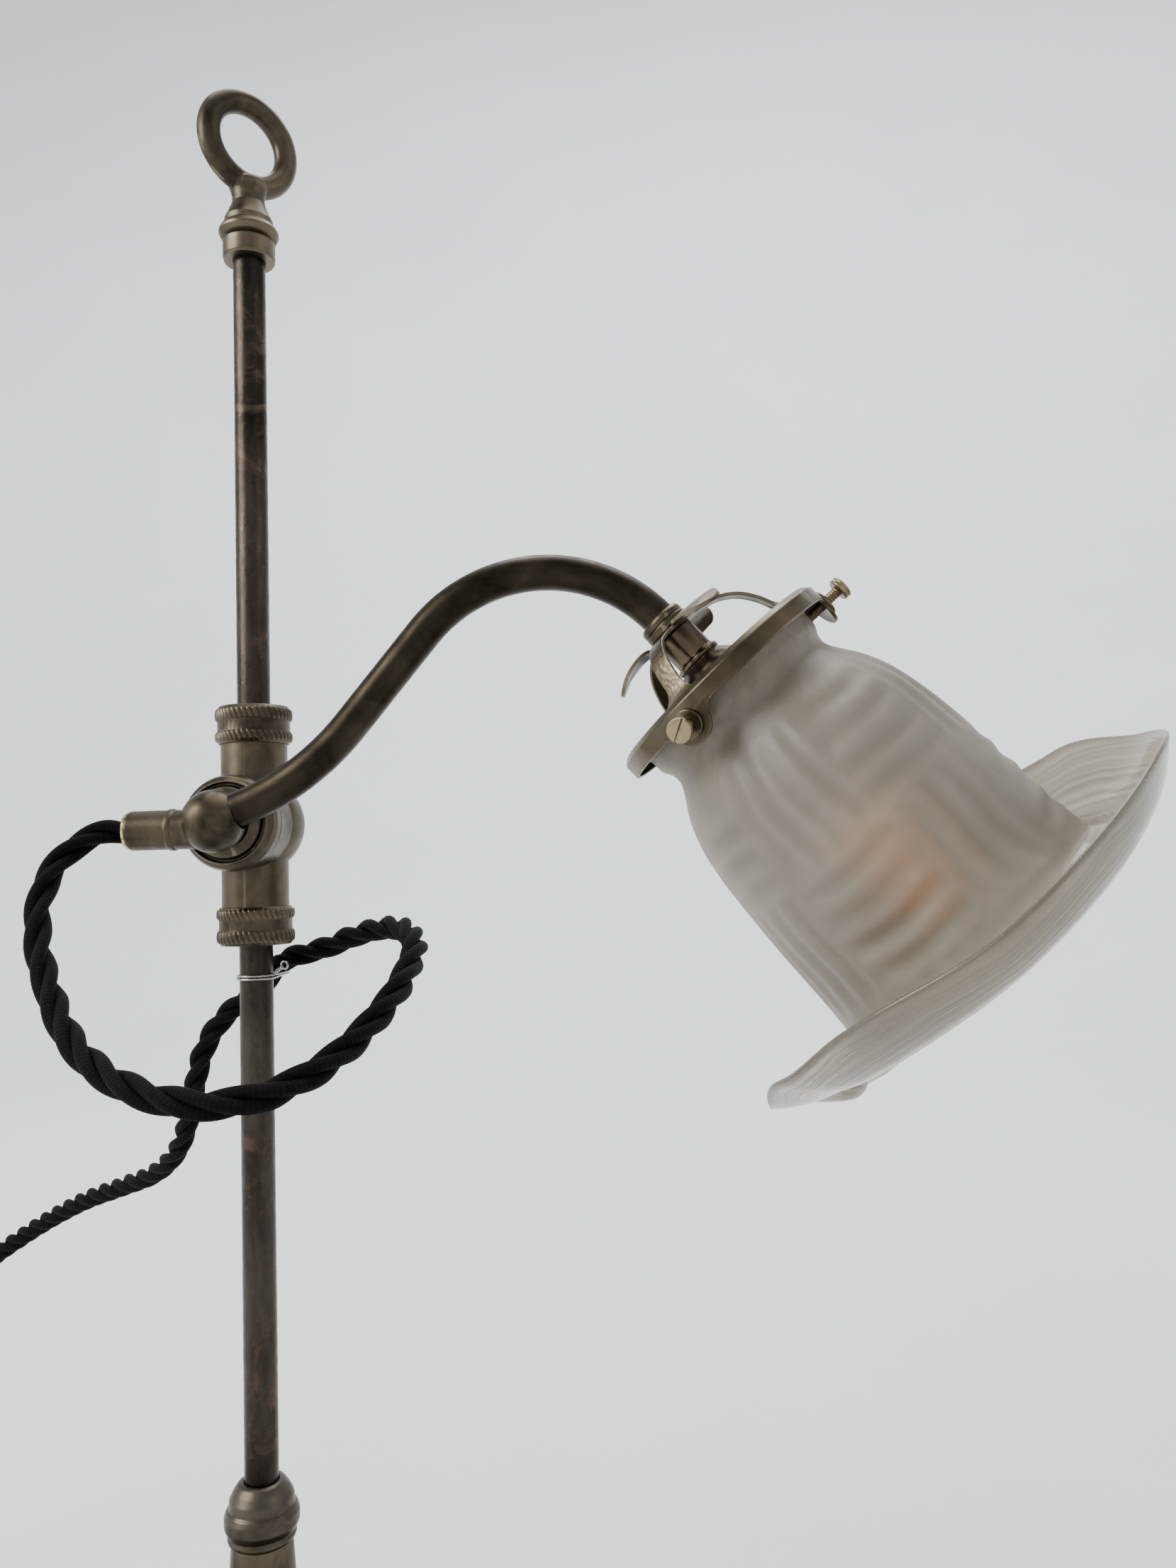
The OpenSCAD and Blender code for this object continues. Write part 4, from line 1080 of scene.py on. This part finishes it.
def relief(turn, down):
    """Soft basket weave: blocks of four ribs that wander, running round and along by turns."""
    column, row = (turn + 180) / BLOCK_TURN, (down - RELIEF_FROM) / BLOCK_DOWN
    if row < 0 or row > RELIEF_ROWS:
        return 0.0
    across, along_it = column % 1, row % 1
    block = 1.7 * int(column) + 2.9 * int(row)
    runs_round = (int(column) + int(row)) % 2 == 0
    cross, along_rib = (along_it, across) if runs_round else (across, along_it)
    cross += 0.022 * math.sin(math.tau * along_rib + block)
    ribs = 0.5 - 0.5 * math.cos(math.tau * 4 * cross)
    ribs *= 0.8 + 0.2 * math.sin(9 * cross + block)
    fade = math.sin(math.pi * across) ** 0.35 * math.sin(math.pi * along_it) ** 0.35
    return ribs * fade * min(1.0, (RELIEF_ROWS - row) / 0.2)


def bell_profile():
    top = np.array(rounded(BELL[:6], 1.0, arc=3))
    lower, _ = smooth_path([(r, d, 0) for r, d in BELL[5:]], 1.25)
    return np.vstack((top[:-1], lower[:, :2]))


def pressed_shade():
    """The outside down to the edge, round it and back up the inside, for each step of the turn."""
    columns, brim_rows = 288, 30
    bell = bell_profile()
    slopes = unit_rows(np.gradient(bell, axis=0))
    verts, uvs = [], []
    for turn in np.linspace(-180, 180, columns, endpoint=False):
        er, ed = edge_at(turn)
        foot = np.array(BELL[-1])
        knee = np.array((max(62.0, er - 18), max(122.0, ed + 9)))
        edge = np.array((er, ed))
        f = np.linspace(0, 1, brim_rows + 1)[1:, None]
        brim = (1 - f) ** 2 * foot + 2 * f * (1 - f) * knee + f * f * edge
        bend = unit_rows(2 * (1 - f) * (knee - foot) + 2 * f * (edge - knee))
        line, slope = np.vstack((bell, brim)), np.vstack((slopes, bend))
        inward = np.column_stack((-slope[:, 1], slope[:, 0]))
        thick = np.full(len(line), GLASS_T)
        thick[-brim_rows:] = GLASS_T * (1 - 0.4 * f[:, 0] ** 1.5)
        pressed = np.array([relief(turn, d) for d in bell[:, 1]] + [0.0] * brim_rows)
        outer = line + inward * (RELIEF_DEPTH * pressed[:, None])
        inner = line + inward * thick[:, None]
        half = thick[-1] / 2
        edge_round = [
            line[-1] + inward[-1] * half * (1 - math.cos(a)) + slope[-1] * half * 0.8 * math.sin(a)
            for a in np.linspace(0, math.pi, EDGE_POINTS)
        ]
        section = np.vstack((outer[:-1], edge_round, inner[-2::-1]))
        clear = np.clip((line[:, 1] - BRIM_FROM + 3.0) / 4.0, 0, 1)
        clear[-brim_rows:] = 1.0
        clear = clear**2 * (3 - 2 * clear) - np.clip(1 - line[:, 1] / 34, 0, 1)
        marks = np.concatenate((clear[:-1], [EDGE_MARK] * EDGE_POINTS, clear[-2::-1]))
        pressed[-brim_rows:] = 1 + 8 * f[:, 0]
        depths = np.concatenate((pressed[:-1], [EDGE_DEPTH] * EDGE_POINTS, pressed[-2::-1]))
        verts += [head_point(r * MM, turn, d * MM) for r, d in section]
        uvs += list(zip(depths, marks))
    faces = grid_faces(columns, len(section), True, True)
    return new_piece("pressed_shade", verts, faces, SHADE_GLASS, uvs)


stand_for(pressed_shade(), "arm", "shade_glass", "glass_shade")

# --- column ---

turned(
    "column_spinning", "root", "aged_bronze", ["column"],
    [(6.1, 36), (22, 36), (22, 39), (20.5, 40.5), (17, 45), (15.2, 54), (12.9, 67), (11.6, 79),
     (10.7, 93), (6.1, 93)],
    WORLD_Z, BRONZE, 0.8, 160, closed=True,
)
turned(
    "column_turned_collar", "root", "worn_brass", ["column_collar"],
    [(6.1, 93), (11.5, 93), (12.1, 94.5), (11.5, 96), (12.2, 96.6), (13.1, 98.6), (13.1, 102),
     (12.2, 104), (11.5, 104.6), (11.2, 107.5), (9.7, 110.4), (8.2, 112.4), (7, 113), (6.1, 113)],
    WORLD_Z, DULL_BRASS, 0.5, 160, closed=True,
)

# --- wire tie: two close turns, a twisted knot and an eye ---


def wire_tie():
    """Thin bright wire round the rod and the cord, its ends twisted together, and an eye."""
    wire_r, round_r, span = 0.42 * MM, ROD_R + 0.75 * MM, 15.8 * MM
    hoops = []
    for turn in range(2):
        rise = 1.1 * MM * (turn - 0.5)
        for first, at, lift, side, shares in (
            (180, 0, 1, round_r, (0.35, 0.7)), (0, span, 0.6, -round_r, (0.7, 0.35)),
        ):
            hoops += [
                (round_r * math.cos(a), at + round_r * math.sin(a), TIE_Z + rise * lift)
                for a in np.radians(np.arange(first, first + 181, 20))
            ]
            hoops += [(side, span * f, TIE_Z + rise * 0.7) for f in shares]
    pieces = [tube("tie_hoops", hoops, wire_r, WIRE, 10, 0.8 * MM)]
    knot_at = Vector((round_r, -1.0 * MM, TIE_Z + 1.0 * MM))
    out = Vector((0.8, -0.3, 0.52)).normalized()
    side = out.cross(Vector((0, 0, 1))).normalized()
    over = side.cross(out)
    for k in range(2):
        strand = []
        for s in np.linspace(0, 1, 40):
            a = math.tau * 2.2 * s + k * math.pi
            ring = side * math.cos(a) + over * math.sin(a)
            strand.append(knot_at + out * (4.5 * MM * s) + ring * 0.42 * MM)
        pieces.append(tube(f"tie_twist_{k + 1}", strand, 0.38 * MM, WIRE, 8, 0.4 * MM))
    eye_at = knot_at + out * (5.9 * MM)
    eye = [
        eye_at + (out * math.cos(a) + over * math.sin(a)) * 1.4 * MM + side * 0.3 * MM * (a / 3 - 1)
        for a in np.linspace(0.9 * math.pi, 2.8 * math.pi, 24)
    ]
    pieces.append(tube("tie_eye", eye, 0.38 * MM, WIRE, 8, 0.4 * MM))
    return pieces


stand_together(wire_tie(), "carriage", "wire", "wire_tie")


# --- finish of the CAD nodes that stay ---

BEVELS = {
    "foot_shell": 0.5, "foot_nut": 0.4, "finial_collar": 0.3, "finial_ring": 0.2,
    "inlet_bush": 0.2, "bulb_cap": 0.2, "plug_body": 0.5, "plug_cover": 0.5, "plug_pins": 0.4,
}
for finish, *names in (
    (BRONZE, "foot_shell", "finial_collar", "finial_ring"),
    (STEEL, "foot_washer", "foot_nut", "rod"),
    (HOLDER_BRASS, "pivot_bolt", "threaded_nipple", "bulb_cap"),
    (BRIGHT_BRASS, "inlet_bush", "contact_plungers", "plug_pins"),
    (BAKELITE, "plug_body", "plug_cover"),
    (IRON, "foot_weight"), (FELT, "felt_pad"), (LEATHER, "friction_bushes"),
    (FIBRE, "friction_washer"), (RUBBER, "inner_flex"), (PORCELAIN, "lampholder_insulator"),
):
    for name in names:
        cad = nodes[name]
        cad.data.materials.clear()
        cad.data.materials.append(finish)
        if name in BEVELS:
            bevelled(cad, BEVELS[name] * MM)


# --- plain stage and soft light ---


def add_stage():
    """A pale round floor that curves up into a pale wall, all the way round."""
    wall = Nodes("stage")
    pale = wall.ramp(wall.noise(3, 3), (0.3, (0.76, 0.77, 0.785)), (0.7, (0.79, 0.8, 0.81)))
    wall.set(Base_Color=pale)
    wall.set(Roughness=wall.ramp(wall.noise(9, 3), (0.3, 0.8), (0.7, 0.95)))
    flat_r, bend_r, wall_top = 1700, 1100, 3600
    bend = [
        (flat_r + bend_r * math.sin(a), bend_r * (1 - math.cos(a)))
        for a in np.radians(np.arange(10, 91, 10))
    ]
    outline = [(0, 0), (flat_r, 0), *bend, (flat_r + bend_r, wall_top)]
    floor = lathe("stage_floor", outline, WORLD_Z, wall.material, 0, 96)
    for face in floor.data.polygons:
        face.flip()


def add_light(name, at, aim, size, power, tone):
    data = bpy.data.lights.new(name, "AREA")
    data.shape, data.size, data.energy, data.color = "DISK", size, power, tone
    turn = (Vector(aim) - Vector(at)).to_track_quat("-Z", "Y").to_matrix().to_4x4()
    add_object(name, data).matrix_world = Matrix.Translation(at) @ turn


def add_lights():
    middle = (0.05, 0, 0.3)
    add_light("window", (-1.5, -0.9, 1.3), middle, 1.3, 48, (1.0, 0.985, 0.95))
    add_light("sky", (0.2, 0.4, 2.4), middle, 2.2, 38, (1.0, 0.985, 0.96))
    add_light("wall_wash", (0.2, 1.0, 2.2), (0.2, 2.8, 0.6), 1.6, 50, (0.97, 0.98, 1.0))
    add_light("fill", (1.6, -0.4, 0.9), middle, 1.2, 4, (1.0, 0.98, 0.95))
    world = bpy.data.worlds.new("pale_room")
    world.use_nodes = True
    background = world.node_tree.nodes["Background"].inputs
    background["Color"].default_value = (0.8, 0.82, 0.84, 1)
    background["Strength"].default_value = 0.33
    bpy.context.scene.world = world


add_stage()
add_lights()
